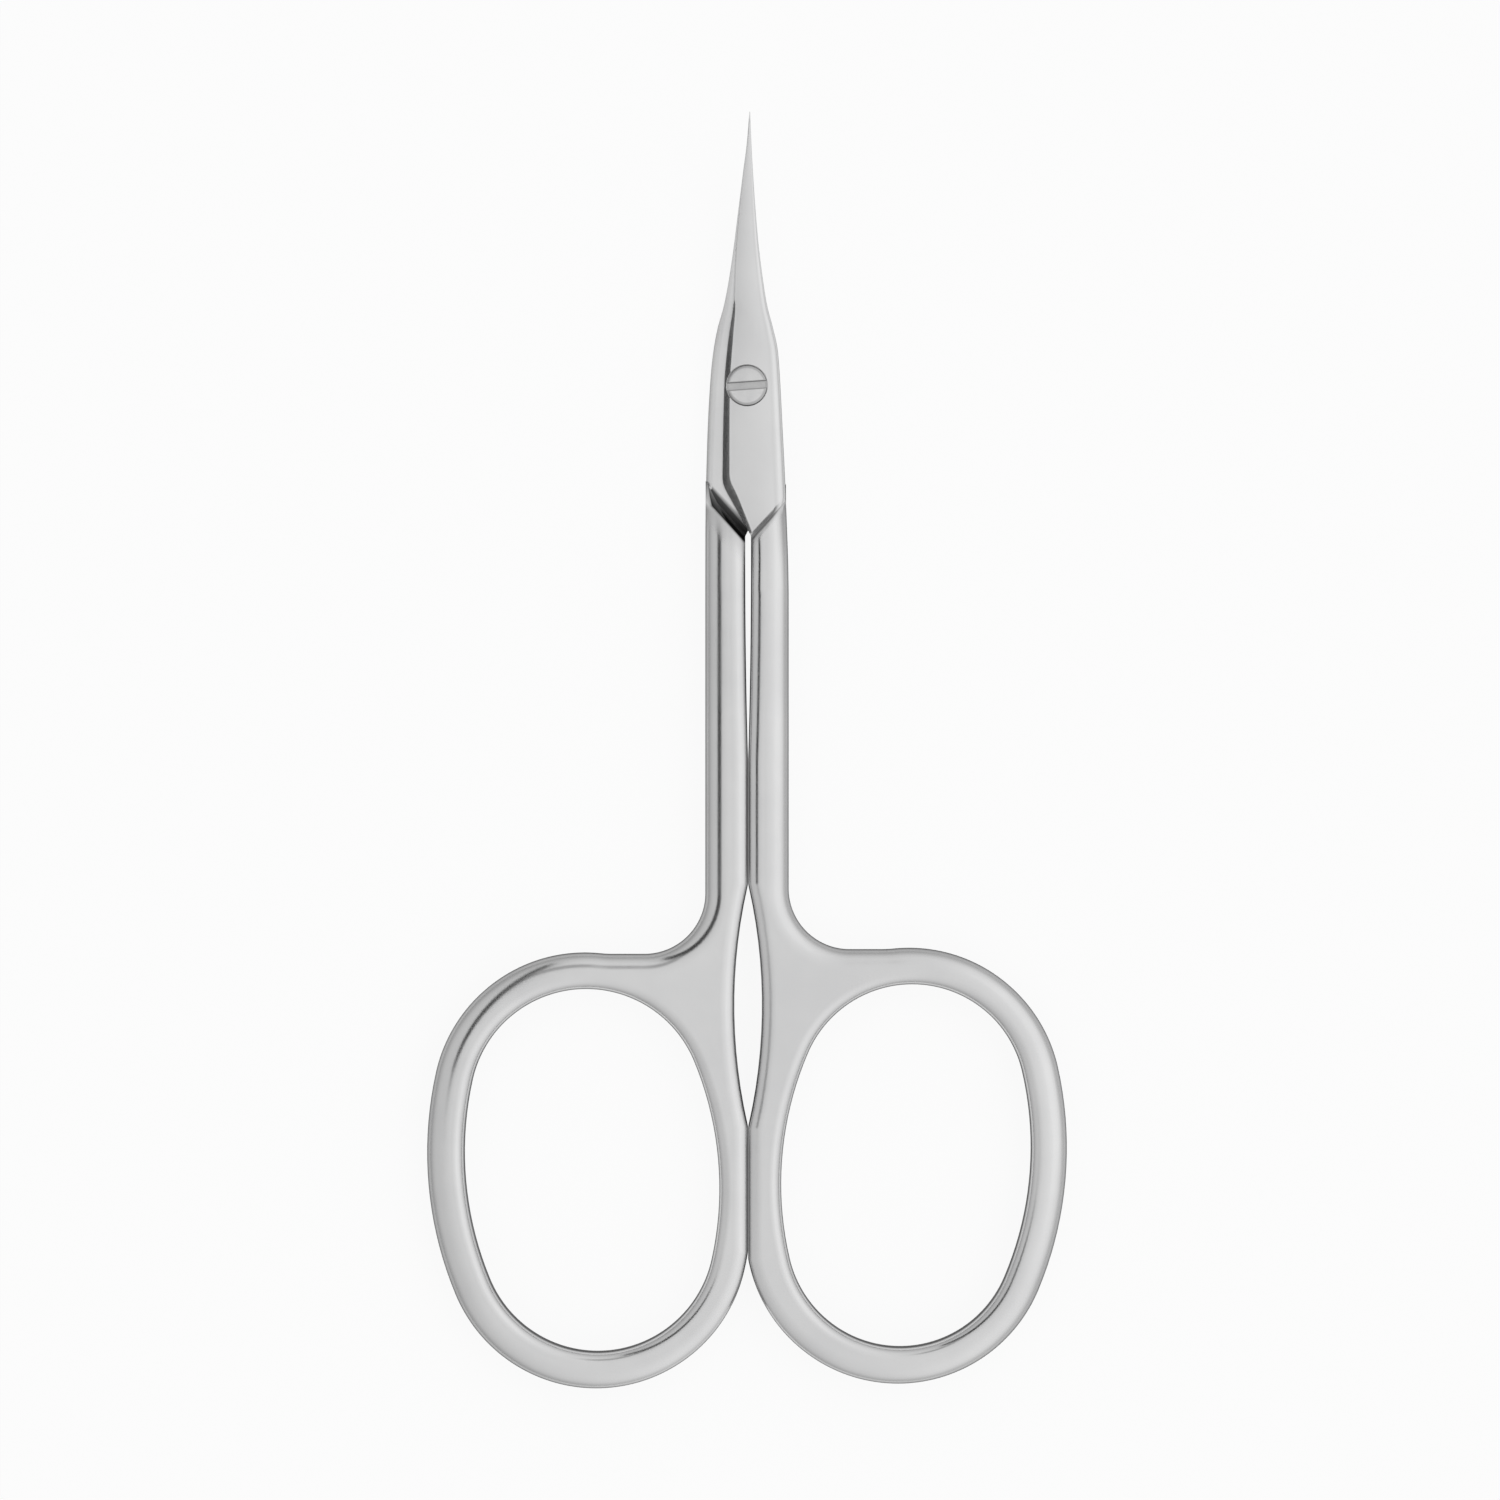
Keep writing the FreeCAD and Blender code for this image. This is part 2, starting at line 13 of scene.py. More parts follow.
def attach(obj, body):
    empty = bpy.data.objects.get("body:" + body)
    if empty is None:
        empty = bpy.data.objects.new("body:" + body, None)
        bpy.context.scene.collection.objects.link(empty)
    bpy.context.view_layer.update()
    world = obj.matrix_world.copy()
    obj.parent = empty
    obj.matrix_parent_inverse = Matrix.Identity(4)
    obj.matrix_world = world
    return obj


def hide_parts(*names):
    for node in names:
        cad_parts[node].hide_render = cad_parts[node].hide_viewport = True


# Cuticle scissors: two satin steel halves that cross at a half-lap joint, and the slotted screw
# they turn on.  Each half is modelled in millimetres with its ring to the right, its tip along +y,
# the pivot axis at x = 0, y = 0 and its mating side down, and is then put in its place.

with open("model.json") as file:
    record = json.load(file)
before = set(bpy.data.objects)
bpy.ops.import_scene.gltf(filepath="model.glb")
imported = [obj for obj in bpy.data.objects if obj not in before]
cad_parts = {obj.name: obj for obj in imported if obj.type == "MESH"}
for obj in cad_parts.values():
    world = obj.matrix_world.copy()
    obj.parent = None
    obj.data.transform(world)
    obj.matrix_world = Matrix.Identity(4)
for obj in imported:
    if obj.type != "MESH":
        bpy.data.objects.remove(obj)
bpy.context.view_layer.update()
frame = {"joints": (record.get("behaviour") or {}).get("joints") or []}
PIVOT = Vector(frame["joints"][0]["pos_m"])
LOG = logging.getLogger("cuticle_scissors")

Pairs = tuple[tuple[float, float], ...]
Colour = tuple[float, float, float, float]
Term = float | bpy.types.NodeSocket

MM = 0.001
THICKNESS = 3.0
ARC_STEPS = 10
FLAT_STEPS = 16
BORE_STEPS = 72
SCREW_STEPS = 96
SUPPORT = 0.02
FIT_SHARE = 0.9
LEAST_ROOM = 0.2
RUN_OUT_START = 0.12
RUN_OUT_SPAN = 0.32
MEET_STEPS = 40
MEET_SHARE = 0.5
RIM_MERGE = 1e-4
AXIS_MERGE = 1e-5
LEVEL_ERROR = 1e-5
SHARP_ANGLE = math.radians(34)
WHITE = (1.0, 1.0, 1.0, 1.0)
EDGE_TINT = (0.05, 0.05, 0.05, 1.0)


class Side(Enum):
    """Which of the two halves a piece is."""

    UPPER = "upper_half"
    LOWER = "lower_half"


@dataclass(frozen=True)
class Run:
    """A size that changes smoothly along a half, known at a few distances from the pivot."""

    stops: Pairs

    def at(self, distance: float) -> float:
        """Reads the size at one place, without overshoot between the known places.

        Args:
            distance: the place along the half, in millimetres from the pivot.

        Returns:
            The size there; past either end it stays as it is at that end.
        """
        places = [place for place, _ in self.stops]
        sizes = [size for _, size in self.stops]
        if distance <= places[0]:
            return sizes[0]
        if distance >= places[-1]:
            return sizes[-1]
        i = max(k for k in range(len(places) - 1) if places[k] <= distance)
        gap = places[i + 1] - places[i]
        share = (distance - places[i]) / gap
        start, end = self._slope(i) * gap, self._slope(i + 1) * gap
        rise = sizes[i + 1] - sizes[i]
        bend = (start + end - 2 * rise) * share + 3 * rise - 2 * start - end
        return sizes[i] + share * (start + share * bend)

    def _slope(self, i: int) -> float:
        """Works out the slope at a known place: level at a turn, else a mean of both sides.

        Args:
            i: which of the known places.

        Returns:
            The slope there.
        """
        chords = []
        for k in (i - 1, i):
            if 0 <= k < len(self.stops) - 1:
                (a, low), (b, high) = self.stops[k], self.stops[k + 1]
                chords.append((high - low) / (b - a))
        if len(chords) == 1:
            return chords[0]
        if chords[0] * chords[1] <= 0:
            return 0.0
        return 2 * chords[0] * chords[1] / (chords[0] + chords[1])


@dataclass(frozen=True)
class Corner:
    """The break of one long edge: its width in from the side, its depth and how round it is."""

    inset: float
    drop: float
    bend: float = 1.0

    def points(self) -> list[tuple[float, float]]:
        """Lists the points of the break.

        Returns:
            (inset, drop) pairs from the face round to the side.
        """
        pairs = []
        for step in range(ARC_STEPS + 1):
            share = step / ARC_STEPS
            angle = share * math.pi / 2
            inset = self.bend * (1 - math.sin(angle)) + (1 - self.bend) * (1 - share)
            drop = self.bend * (1 - math.cos(angle)) + (1 - self.bend) * share
            pairs.append((self.inset * inset, self.drop * drop))
        return pairs

    def mixed(self, other: "Corner", share: float) -> "Corner":
        """Gives the corner part of the way towards another one.

        Args:
            other: the corner at the end of the way.
            share: how much of the way is gone.

        Returns:
            The corner between them.
        """
        return Corner(
            self.inset + (other.inset - self.inset) * share,
            self.drop + (other.drop - self.drop) * share,
            self.bend + (other.bend - self.bend) * share,
        )

    def narrowed(self, share: float) -> "Corner":
        """Gives the same corner with a share of its width."""
        return Corner(self.inset * share, self.drop, self.bend)


OUTER_ROUND = Corner(1.6, 0.88)
INNER_ROUND = Corner(1.0, 0.56)
HOLE_ROUND = Corner(0.85, 0.7)
KEEN = Corner(0.04, 0.04)


def edge_chain(high: float, low: float, upper: Corner, lower: Corner) -> list[tuple[float, float]]:
    """Lists the points of one side of a section.

    Args:
        high: level of the outer face.
        low: level of the mating face.
        upper: break between the outer face and the side.
        lower: break between the side and the mating face.

    Returns:
        (inset, level) pairs from the outer face down to the mating face.
    """
    chain = [(upper.inset + SUPPORT, high)]
    chain += [(inset, high - drop) for inset, drop in upper.points()]
    chain += [(inset, low + drop) for inset, drop in reversed(lower.points())]
    chain.append((lower.inset + SUPPORT, low))
    return chain


def smooth(share: float) -> float:
    """Eases a share of the way from 0 to 1 at both ends."""
    share = min(1.0, max(0.0, share))
    return share * share * (3 - 2 * share)


def outer_end(inset: float) -> float:
    """Gives how far the shoulder has run out, 1 at the outer side and 0 well inside it."""
    return 1 - smooth((inset - RUN_OUT_START) / RUN_OUT_SPAN)


@dataclass(frozen=True)
class Section:
    """One cross-section of a half, standing on a straight line in plan."""

    inner: tuple[float, float]
    outer: tuple[float, float]
    low: float
    high: float
    outer_high: Corner
    outer_low: Corner
    inner_high: Corner
    inner_low: Corner
    crown: float = 0.0
    slide: float = 0.0

    def points(self) -> list[Vector]:
        """Lists the section's points, with its corners narrowed where the section is too slim.

        Returns:
            The points down the outer side, along the mating face, up the inner side and back along
            the outer face.
        """
        width = self.outer[0] - self.inner[0]
        room = max(width - 4 * SUPPORT, LEAST_ROOM * width)
        widest = max(self.outer_high.inset + self.inner_high.inset,
                     self.outer_low.inset + self.inner_low.inset)
        fit = min(1.0, FIT_SHARE * room / widest)
        edge = self.high - self.crown
        outer = edge_chain(edge, self.low, self.outer_high.narrowed(fit),
                           self.outer_low.narrowed(fit))
        inner = edge_chain(edge, self.low, self.inner_high.narrowed(fit),
                           self.inner_low.narrowed(fit))
        ring = [self._at(1 - inset / width, level) for inset, level in outer]
        ring += self._flat(1 - outer[-1][0] / width, inner[-1][0] / width, self.low, 0.0)
        ring += [self._at(inset / width, level) for inset, level in reversed(inner)]
        ring += self._flat(inner[0][0] / width, 1 - outer[0][0] / width, edge, self.crown)
        return ring

    def _at(self, share: float, level: float) -> Vector:
        """Places a point of the section.

        Args:
            share: its share of the way from the inner to the outer side.
            level: its height.

        Returns:
            The point; under half of the thickness it slides along as the shoulder runs out.
        """
        x = self.inner[0] + (self.outer[0] - self.inner[0]) * share
        y = self.inner[1] + (self.outer[1] - self.inner[1]) * share
        if level < THICKNESS / 2:
            y += self.slide * outer_end(self.outer[0] - x)
        return Vector((x, y, level))

    def _flat(self, start: float, end: float, level: float, crown: float) -> list[Vector]:
        """Lists the points across a face, between its two edges.

        Args:
            start: share of the way from the inner to the outer side at one edge.
            end: the same at the other edge.
            level: height of the edges.
            crown: how much higher the middle is.

        Returns:
            The points, without the edges themselves.
        """
        points = []
        for step in range(1, FLAT_STEPS):
            share = step / FLAT_STEPS
            rise = crown * (1 - (2 * share - 1) ** 2)
            points.append(self._at(start + (end - start) * share, level + rise))
        return points


def extrude_along(mesh: bmesh.types.BMesh, verts: list[bmesh.types.BMVert], places: list[Vector],
                  closed: bool) -> list[bmesh.types.BMVert]:
    """Extrudes a row of vertices and moves the new row to its places.

    Args:
        mesh: the mesh that holds the row.
        verts: the row, in order.
        places: where the new row's vertices go, in the same order.
        closed: whether the row's last vertex joins its first.

    Returns:
        The new row, in order.
    """
    follow = verts[1:] + verts[:1] if closed else verts[1:]
    edges = [mesh.edges.get(pair) for pair in zip(verts, follow)]
    made = bmesh.ops.extrude_edge_only(mesh, edges=edges)["geom"]
    fresh = {item for item in made if isinstance(item, bmesh.types.BMVert)}
    row = []
    for vert, place in zip(verts, places):
        after = next(e.other_vert(vert) for e in vert.link_edges if e.other_vert(vert) in fresh)
        after.co = place
        row.append(after)
    return row


class RimSweep:
    """Carries an edge's profile along an outline, with the metal on the right-hand side."""

    TURN_STEP = 2.0
    RUN_STEP = 1.5

    def __init__(self, mesh: bmesh.types.BMesh, start: tuple[float, float], heading: float,
                 corner: Corner) -> None:
        """Sets the first profile.

        Args:
            mesh: the mesh that gets the rim.
            start: where the outline begins.
            heading: which way it begins, in degrees from +x.
            corner: the break of the rim's two edges there.
        """
        self.mesh = mesh
        self.place = Vector((start[0], start[1], 0.0))
        self.heading = heading
        self.corner = corner
        self.row = [mesh.verts.new(place) for place in self._profile()]
        for pair in zip(self.row, self.row[1:]):
            mesh.edges.new(pair)
        self.first = list(self.row)

    def _profile(self) -> list[Vector]:
        """Lists the profile's points at the present place.

        Returns:
            The points from the outer face down to the mating face.
        """
        angle = math.radians(self.heading)
        right = Vector((math.sin(angle), -math.cos(angle), 0.0))
        chain = edge_chain(THICKNESS, 0.0, self.corner, self.corner)
        return [self.place + right * inset + Vector((0, 0, level)) for inset, level in chain]

    def _walk(self, steps: int, length: float, turn: float, target: Corner | None) -> None:
        """Lays equal steps, each a chord that turns evenly, while the corner changes evenly.

        Args:
            steps: how many steps.
            length: the length of each.
            turn: the turn in degrees over each, to the left if positive.
            target: the corner to reach with the last step, or None to keep it as it is.
        """
        start = self.corner
        for step in range(1, steps + 1):
            self.heading += turn / 2
            angle = math.radians(self.heading)
            self.place += Vector((math.cos(angle), math.sin(angle), 0.0)) * length
            self.heading += turn / 2
            if target is not None:
                self.corner = start.mixed(target, step / steps)
            self.row = extrude_along(self.mesh, self.row, self._profile(), False)

    def forward(self, length: float) -> None:
        """Carries the profile straight on."""
        steps = max(1, math.ceil(length / self.RUN_STEP))
        self._walk(steps, length / steps, 0.0, None)

    def turn(self, radius: float, angle: float, target: Corner | None = None) -> None:
        """Carries the profile round an arc.

        Args:
            radius: the arc's radius.
            angle: the turn in degrees, to the left if positive.
            target: the corner to reach at the end of the arc.
        """
        steps = max(2, math.ceil(abs(angle) / self.TURN_STEP),
                    math.ceil(radius * math.radians(abs(angle)) / self.RUN_STEP))
        chord = 2 * radius * math.sin(math.radians(abs(angle)) / steps / 2)
        self._walk(steps, chord, angle / steps, target)


def turned(profile: list[tuple[float, float]], steps: int) -> bmesh.types.BMesh:
    """Turns a profile about the pivot axis into a closed solid.

    Args:
        profile: (radius, level) pairs that begin and end on the axis.
        steps: how many steps make the full turn.

    Returns:
        The solid, in millimetres.
    """
    mesh = bmesh.new()
    verts = [mesh.verts.new((radius, 0.0, level)) for radius, level in profile]
    edges = [mesh.edges.new(pair) for pair in zip(verts, verts[1:])]
    bmesh.ops.spin(mesh, geom=verts + edges, cent=(0, 0, 0), axis=(0, 0, 1), dvec=(0, 0, 0),
                   angle=math.tau, steps=steps, use_merge=True, use_duplicate=False)
    bmesh.ops.remove_doubles(mesh, verts=mesh.verts, dist=AXIS_MERGE)
    bmesh.ops.recalc_face_normals(mesh, faces=mesh.faces)
    return mesh


def link(mesh: bmesh.types.BMesh, name: str) -> bpy.types.Object:
    """Makes an object of a finished bmesh and frees the bmesh.

    Args:
        mesh: the finished bmesh.
        name: the object's name.

    Returns:
        The object, linked to the scene.
    """
    data = bpy.data.meshes.new(name)
    mesh.to_mesh(data)
    mesh.free()
    piece = bpy.data.objects.new(name, data)
    bpy.context.scene.collection.objects.link(piece)
    return piece


def cut_away(piece: bpy.types.Object, tool: bmesh.types.BMesh) -> None:
    """Cuts a tool's shape out of a piece and removes the tool.

    Args:
        piece: the piece that is cut.
        tool: the closed shape to take away.
    """
    cutter = link(tool, piece.name + "_cutter")
    change = piece.modifiers.new("cut", "BOOLEAN")
    change.operation = "DIFFERENCE"
    change.solver = "EXACT"
    change.object = cutter
    seen = piece.evaluated_get(bpy.context.evaluated_depsgraph_get())
    data = bpy.data.meshes.new_from_object(seen)
    piece.modifiers.remove(change)
    old = piece.data
    piece.data = data
    bpy.data.meshes.remove(old)
    spent = cutter.data
    bpy.data.objects.remove(cutter)
    bpy.data.meshes.remove(spent)
    data.name = piece.name


def finish_mesh(piece: bpy.types.Object, place: Matrix) -> None:
    """Puts a piece's mesh in its place in the frame and shades it.

    Args:
        piece: the piece, modelled in millimetres about the pivot axis.
        place: the move from there to the frame, in millimetres.
    """
    piece.data.transform(Matrix.Scale(MM, 4) @ place)
    piece.data.shade_smooth()
    piece.data.set_sharp_from_angle(angle=SHARP_ANGLE)
    piece.data.update()


@dataclass
class ScissorHalf:
    """One half of the scissors: finger ring, shank, joint plate and blade in one piece of steel."""

    side: Side
    ring_y: float
    hole_x: float
    hole_half_width: float
    skew: float
    outer: Run
    back: Run
    lap_edge: Run
    blade_bend: float
    matt_reach: float
    bore: Pairs

    # Ring, web and shank
    ring_x: float = 11.2867
    ring_tilt: float = 5.0
    ring_band: float = 2.6
    side_radius: float = 24.0
    hole_half_length: float = 13.1
    ring_half_width: float = 9.1
    web_drop: float = 0.1
    web_fillet: float = 4.4
    web_blend: float = 8.0
    stop_gap: float = 0.01
    stop_corner: float = 1.4
    lens_y: float = -44.669
    lens_depth: float = 1.0
    lens_radius: float = 39.0
    relief_y: float = -12.5
    relief_depth: float = 0.21
    relief_radius: float = 520.0
    shank_reach: float = 3.0
    cut_y: float = -15.0
    shank_count: int = 14

    # Shoulder and joint plate
    shoulder_y: float = -11.45
    shoulder_angle: float = 48.0
    shoulder_wall: float = 0.68
    shoulder_root: float = 0.84
    root_count: int = 16
    wall_lean: float = 0.015
    wall_outer: Corner = Corner(0.05, 0.22)
    wall_inner: Corner = Corner(0.04, 0.1)
    edge_break: float = 0.04
    crotch_y: float = -10.8
    heel: tuple[float, float] = (-1.76, -7.1)
    heel_blend: float = 0.45
    lap_level: float = 1.52
    lap_fall: float = 0.1
    lap_bend: float = 0.2
    plate_level: float = 2.7
    plate_crown: float = 0.06
    plate_count: int = 44
    step_start: float = -0.15
    step_end: float = 0.29
    step_lead: float = 0.13

    # Blade, and the edges of plate and blade
    root_y: float = 2.5
    tip_y: float = 19.6
    blade_rise: float = 2.4
    blade_count: int = 56
    thickness: Run = Run(((2.5, 1.18), (4.6, 1.15), (7.0, 1.0), (12.6, 0.72), (17.0, 0.45),
                          (19.6, 0.16)))
    bevel_width: Run = Run(((-8.0, 0.75), (2.5, 0.62), (5.8, 0.45), (10.0, 0.3), (15.0, 0.15),
                            (19.6, 0.02)))
    bevel_depth: Run = Run(((-8.0, 0.45), (2.5, 0.38), (5.8, 0.28), (10.0, 0.19), (15.0, 0.1),
                            (19.6, 0.03)))
    back_bend: float = 0.1
    back_width: Run = Run(((-10.8, 0.12), (-9.6, 0.28), (-7.2, 0.54), (-2.0, 0.47), (2.5, 0.38),
                           (4.0, 0.3), (5.55, 0.17), (6.5, 0.05), (19.6, 0.02)))
    back_depth: Run = Run(((-10.8, 0.032), (-9.6, 0.08), (-7.6, 0.138), (-6.4, 0.111), (-2.0, 0.1),
                           (2.5, 0.08), (4.0, 0.063), (5.55, 0.036), (6.5, 0.02), (19.6, 0.01)))

    # Where shade is painted onto the steel
    # Painted shade on the steep sides, darkest halfway between the two faces, standing in for a
    # darker reflection there.
    side_painted_shade: float = 0.45
    side_start: float = 0.16
    side_blend: float = 0.45
    side_reach: float = 0.3
    side_fade: Run = Run(((-8.0, 0.6), (0.0, 0.3), (5.0, 0.08), (9.0, 0.0)))
    # Painted shade where the two halves touch, at the rings' stops and along the shanks.
    contact_reach: float = 0.2
    contact_drop: float = 0.42
    contact_blend: float = 0.1
    contact_painted_shade: Run = Run(((-65.0, 0.0), (-63.5, 0.65), (-54.5, 0.65), (-53.3, 0.0), (-36.0, 0.0),
                             (-35.2, 0.85), (-28.0, 0.85), (-25.5, 0.0)))
    # Painted shade along the step down to the joint plate.
    step_inset: float = 0.28
    step_blend: float = 0.8
    step_painted_shade: Run = Run(((-0.16, 0.0), (-0.06, 0.6), (0.2, 0.6), (0.3, 0.0)))
    # Painted shade in the root of the shoulder, with a painted lighter streak across it.
    root_lead: float = 0.08
    root_blend: float = 0.09
    root_painted_shade: Run = Run(((0.0, 1.0), (0.2, 1.0), (0.32, 0.6), (0.48, 0.95), (0.8, 0.9),
                          (0.93, 0.0)))

    # Plan of the inner side

    def relief_x(self, y: float) -> float:
        """Works out the shank's inner side, hollowed so that the shanks stand clear of each other.

        Args:
            y: the place along the shank.

        Returns:
            The side's x there.
        """
        rise = y - self.relief_y
        hollow = math.sqrt(self.relief_radius ** 2 - rise ** 2) - self.relief_radius
        return self.skew + self.relief_depth + hollow

    def inner_x(self, y: float) -> float:
        """Works out the inner side: hollowed shank, slanted heel, plate back and blade back.

        Args:
            y: the place along the half.

        Returns:
            The side's x there.
        """
        if y <= self.crotch_y:
            return self.relief_x(y)
        crotch_x = self.relief_x(self.crotch_y)
        heel_x, heel_y = self.heel
        slant = (heel_x - crotch_x) / (heel_y - self.crotch_y)
        if y < heel_y - self.heel_blend:
            return crotch_x + slant * (y - self.crotch_y)
        if y < heel_y + self.heel_blend:
            share = (y - heel_y + self.heel_blend) / (2 * self.heel_blend)
            start = crotch_x + slant * (heel_y - self.heel_blend - self.crotch_y)
            return start + (heel_x - start) * (2 * share - share * share)
        return self.back.at(y)

    def shoulder_line(self, x: float, distance: float) -> float:
        """Gives y on the line that runs beside the shoulder, so far towards the tip."""
        angle = math.radians(self.shoulder_angle)
        return self.shoulder_y + x * math.tan(angle) + distance / math.cos(angle)

    def past_shoulder(self, place: Vector) -> float:
        """Gives how far a place lies past the shoulder's edge, towards the tip."""
        rise = place.y - self.shoulder_line(place.x, 0.0)
        return rise * math.cos(math.radians(self.shoulder_angle))

    def meet(self, reach: Callable[[float], float], distance: float) -> tuple[float, float]:
        """Finds where a shoulder line meets a side of the plan.

        Args:
            reach: function that gives the side's x at a y.
            distance: how far the line lies from the shoulder, towards the tip.

        Returns:
            The meeting point.
        """
        x = reach(self.shoulder_y)
        for _ in range(MEET_STEPS):
            x += MEET_SHARE * (reach(self.shoulder_line(x, distance)) - x)
        return x, self.shoulder_line(x, distance)

    # Ring, web and shank

    def hole_arcs(self, half_width: float) -> tuple[float, float, float, float]:
        """Works out the finger hole's oval.

        Args:
            half_width: half of the hole's width.

        Returns:
            End radius, end offset, side offset and the angle at which the arcs meet.
        """
        side = self.side_radius - half_width
        length = self.hole_half_length
        end_radius = (self.side_radius ** 2 - side ** 2 - length ** 2) / (
            2 * (self.side_radius - length))
        end = length - end_radius
        return end_radius, end, side, math.degrees(math.atan2(end, side))

    def sweep_outline(self, mesh: bmesh.types.BMesh) -> RimSweep:
        """Rounds the outer rim from the shank, round the web and ring, and back up the shank.

        Args:
            mesh: the mesh that gets the rim.

        Returns:
            The sweep, with its first and last profiles at the cut across the shank.
        """
        end_radius, end, side, meet = self.hole_arcs(self.ring_half_width)
        end_radius += self.ring_band
        side_radius = self.side_radius + self.ring_band
        tilt = math.radians(self.ring_tilt)
        top_x = self.ring_x + end * math.sin(tilt)
        top_y = self.ring_y + end * math.cos(tilt)
        web_y = top_y + end_radius - self.web_drop
        reach = end_radius + self.web_blend
        lift = math.degrees(math.acos((reach - self.web_drop) / reach))
        stop_x = self.skew + self.stop_gap
        side_x = self.ring_x + side * math.cos(tilt)
        side_y = self.ring_y - side * math.sin(tilt)
        corner_reach = side_radius - self.stop_corner
        stop_turn = math.acos((side_x - stop_x - self.stop_corner) / corner_reach)
        stop_y = side_y - corner_reach * math.sin(stop_turn)
        lens_reach = self.lens_radius + self.stop_corner
        lens_x = self.skew + self.lens_depth - self.lens_radius
        lens_turn = math.acos((stop_x + self.stop_corner - lens_x) / lens_reach)
        lens_half = lens_reach * math.sin(lens_turn)
        relief_reach = self.relief_radius + self.stop_corner
        relief_x = self.skew + self.relief_depth - self.relief_radius
        relief_turn = math.acos((stop_x + self.stop_corner - relief_x) / relief_reach)
        relief_low = self.relief_y - relief_reach * math.sin(relief_turn)
        relief_left = math.asin((self.cut_y - self.relief_y) / self.relief_radius)

        rim = RimSweep(mesh, (self.shank_reach, self.cut_y), -90.0, OUTER_ROUND)
        rim.forward(self.cut_y - web_y - self.web_fillet)
        rim.turn(self.web_fillet, 90.0)
        web_end = top_x - reach * math.sin(math.radians(lift))
        rim.forward(web_end - self.shank_reach - self.web_fillet)
        rim.turn(self.web_blend, lift)
        rim.turn(end_radius, -(90.0 + lift - meet + self.ring_tilt))
        rim.turn(side_radius, -2 * meet)
        rim.turn(end_radius, -(180.0 - 2 * meet), INNER_ROUND)
        rim.turn(side_radius, -(meet - self.ring_tilt - math.degrees(stop_turn)))
        rim.turn(self.stop_corner, -math.degrees(stop_turn))
        rim.forward(self.lens_y - lens_half - stop_y)
        rim.turn(self.stop_corner, -math.degrees(lens_turn))
        rim.turn(self.lens_radius, 2 * math.degrees(lens_turn))
        rim.turn(self.stop_corner, -math.degrees(lens_turn))
        rim.forward(relief_low - self.lens_y - lens_half)
        rim.turn(self.stop_corner, -math.degrees(relief_turn))
        rim.turn(self.relief_radius, math.degrees(relief_turn + relief_left))
        return rim

    def sweep_hole(self, mesh: bmesh.types.BMesh) -> None:
        """Rounds the finger hole's rim, once round.

        Args:
            mesh: the mesh that gets the rim.
        """
        end_radius, end, _, meet = self.hole_arcs(self.hole_half_width)
        turn = math.radians(meet)
        start = Vector((end_radius * math.cos(turn), end + end_radius * math.sin(turn), 0.0))
        start.rotate(Matrix.Rotation(-math.radians(self.ring_tilt), 3, "Z"))
        place = (start.x + self.hole_x, start.y + self.ring_y)
        rim = RimSweep(mesh, place, meet + 90.0 - self.ring_tilt, HOLE_ROUND)
        for _ in range(2):
            rim.turn(end_radius, 180.0 - 2 * meet)
            rim.turn(self.side_radius, 2 * meet)

    def close_cut(self, mesh: bmesh.types.BMesh, rim: RimSweep) -> list[bmesh.types.BMVert]:
        """Joins the two ends of the outer rim across the shank's two faces.

        Args:
            mesh: the mesh that holds the rim.
            rim: the outer rim.

        Returns:
            The closed section at the cut, in the order that Section lists its points.
        """
        def across(start: bmesh.types.BMVert, end: bmesh.types.BMVert) -> list[bmesh.types.BMVert]:
            """Lays a row of vertices between two and joins them.

            Args:
                start: the vertex at one edge of the face.
                end: the vertex at the other edge.

            Returns:
                The vertices between them.
            """
            row = [mesh.verts.new(start.co.lerp(end.co, step / FLAT_STEPS))
                   for step in range(1, FLAT_STEPS)]
            chain = [start, *row, end]
            for pair in zip(chain, chain[1:]):
                mesh.edges.new(pair)
            return row

        low = across(rim.first[-1], rim.row[-1])
        high = across(rim.row[0], rim.first[0])
        return rim.first + low + rim.row[::-1] + high

    def fill_faces(self, mesh: bmesh.types.BMesh) -> None:
        """Fills the flat outer and mating faces between the rims.

        Args:
            mesh: the mesh that holds the rims.
        """
        bmesh.ops.remove_doubles(mesh, verts=mesh.verts, dist=RIM_MERGE)
        for level in (THICKNESS, 0.0):
            edges = [e for e in mesh.edges if len(e.link_faces) < 2
                     and all(abs(v.co.z - level) < LEVEL_ERROR for v in e.verts)]
            bmesh.ops.triangle_fill(mesh, use_beauty=True, edges=edges, normal=(0, 0, 1))

    # Joint and blade

    def plate_corners(self, inner_y: float, outer_y: float) -> tuple[Corner, ...]:
        """Gives the four corners of the joint plate or the blade.

        Args:
            inner_y: place of the section's inner end.
            outer_y: place of its outer end.

        Returns:
            Outer high, outer low, inner high and inner low corner.
        """
        lap = self.lap_edge.at(outer_y)
        return (
            Corner(self.bevel_width.at(outer_y), self.bevel_depth.at(outer_y)),
            Corner(lap, self.lap_fall * lap, self.lap_bend),
            Corner(self.back_width.at(inner_y), self.back_depth.at(inner_y), self.back_bend),
            KEEN,
        )

    def shank_rows(self) -> list[Section]:
        """Fans the sections from the cut round to the slant of the shoulder.

        Returns:
            The sections, in order towards the tip.
        """
        inner_stop = self.meet(self.inner_x, self.step_start)[1]
        outer_stop = self.meet(self.outer.at, self.step_start)[1]
        rows = []
        for step in range(1, self.shank_count + 1):
            share = step / self.shank_count
            inner_y = self.cut_y + (inner_stop - self.cut_y) * share
            outer_y = self.cut_y + (outer_stop - self.cut_y) * share
            rows.append(Section((self.inner_x(inner_y), inner_y),
                                (self.outer.at(outer_y), outer_y),
                                0.0, THICKNESS - self.step_lead * smooth(share),
                                OUTER_ROUND, OUTER_ROUND, INNER_ROUND, INNER_ROUND))
        return rows

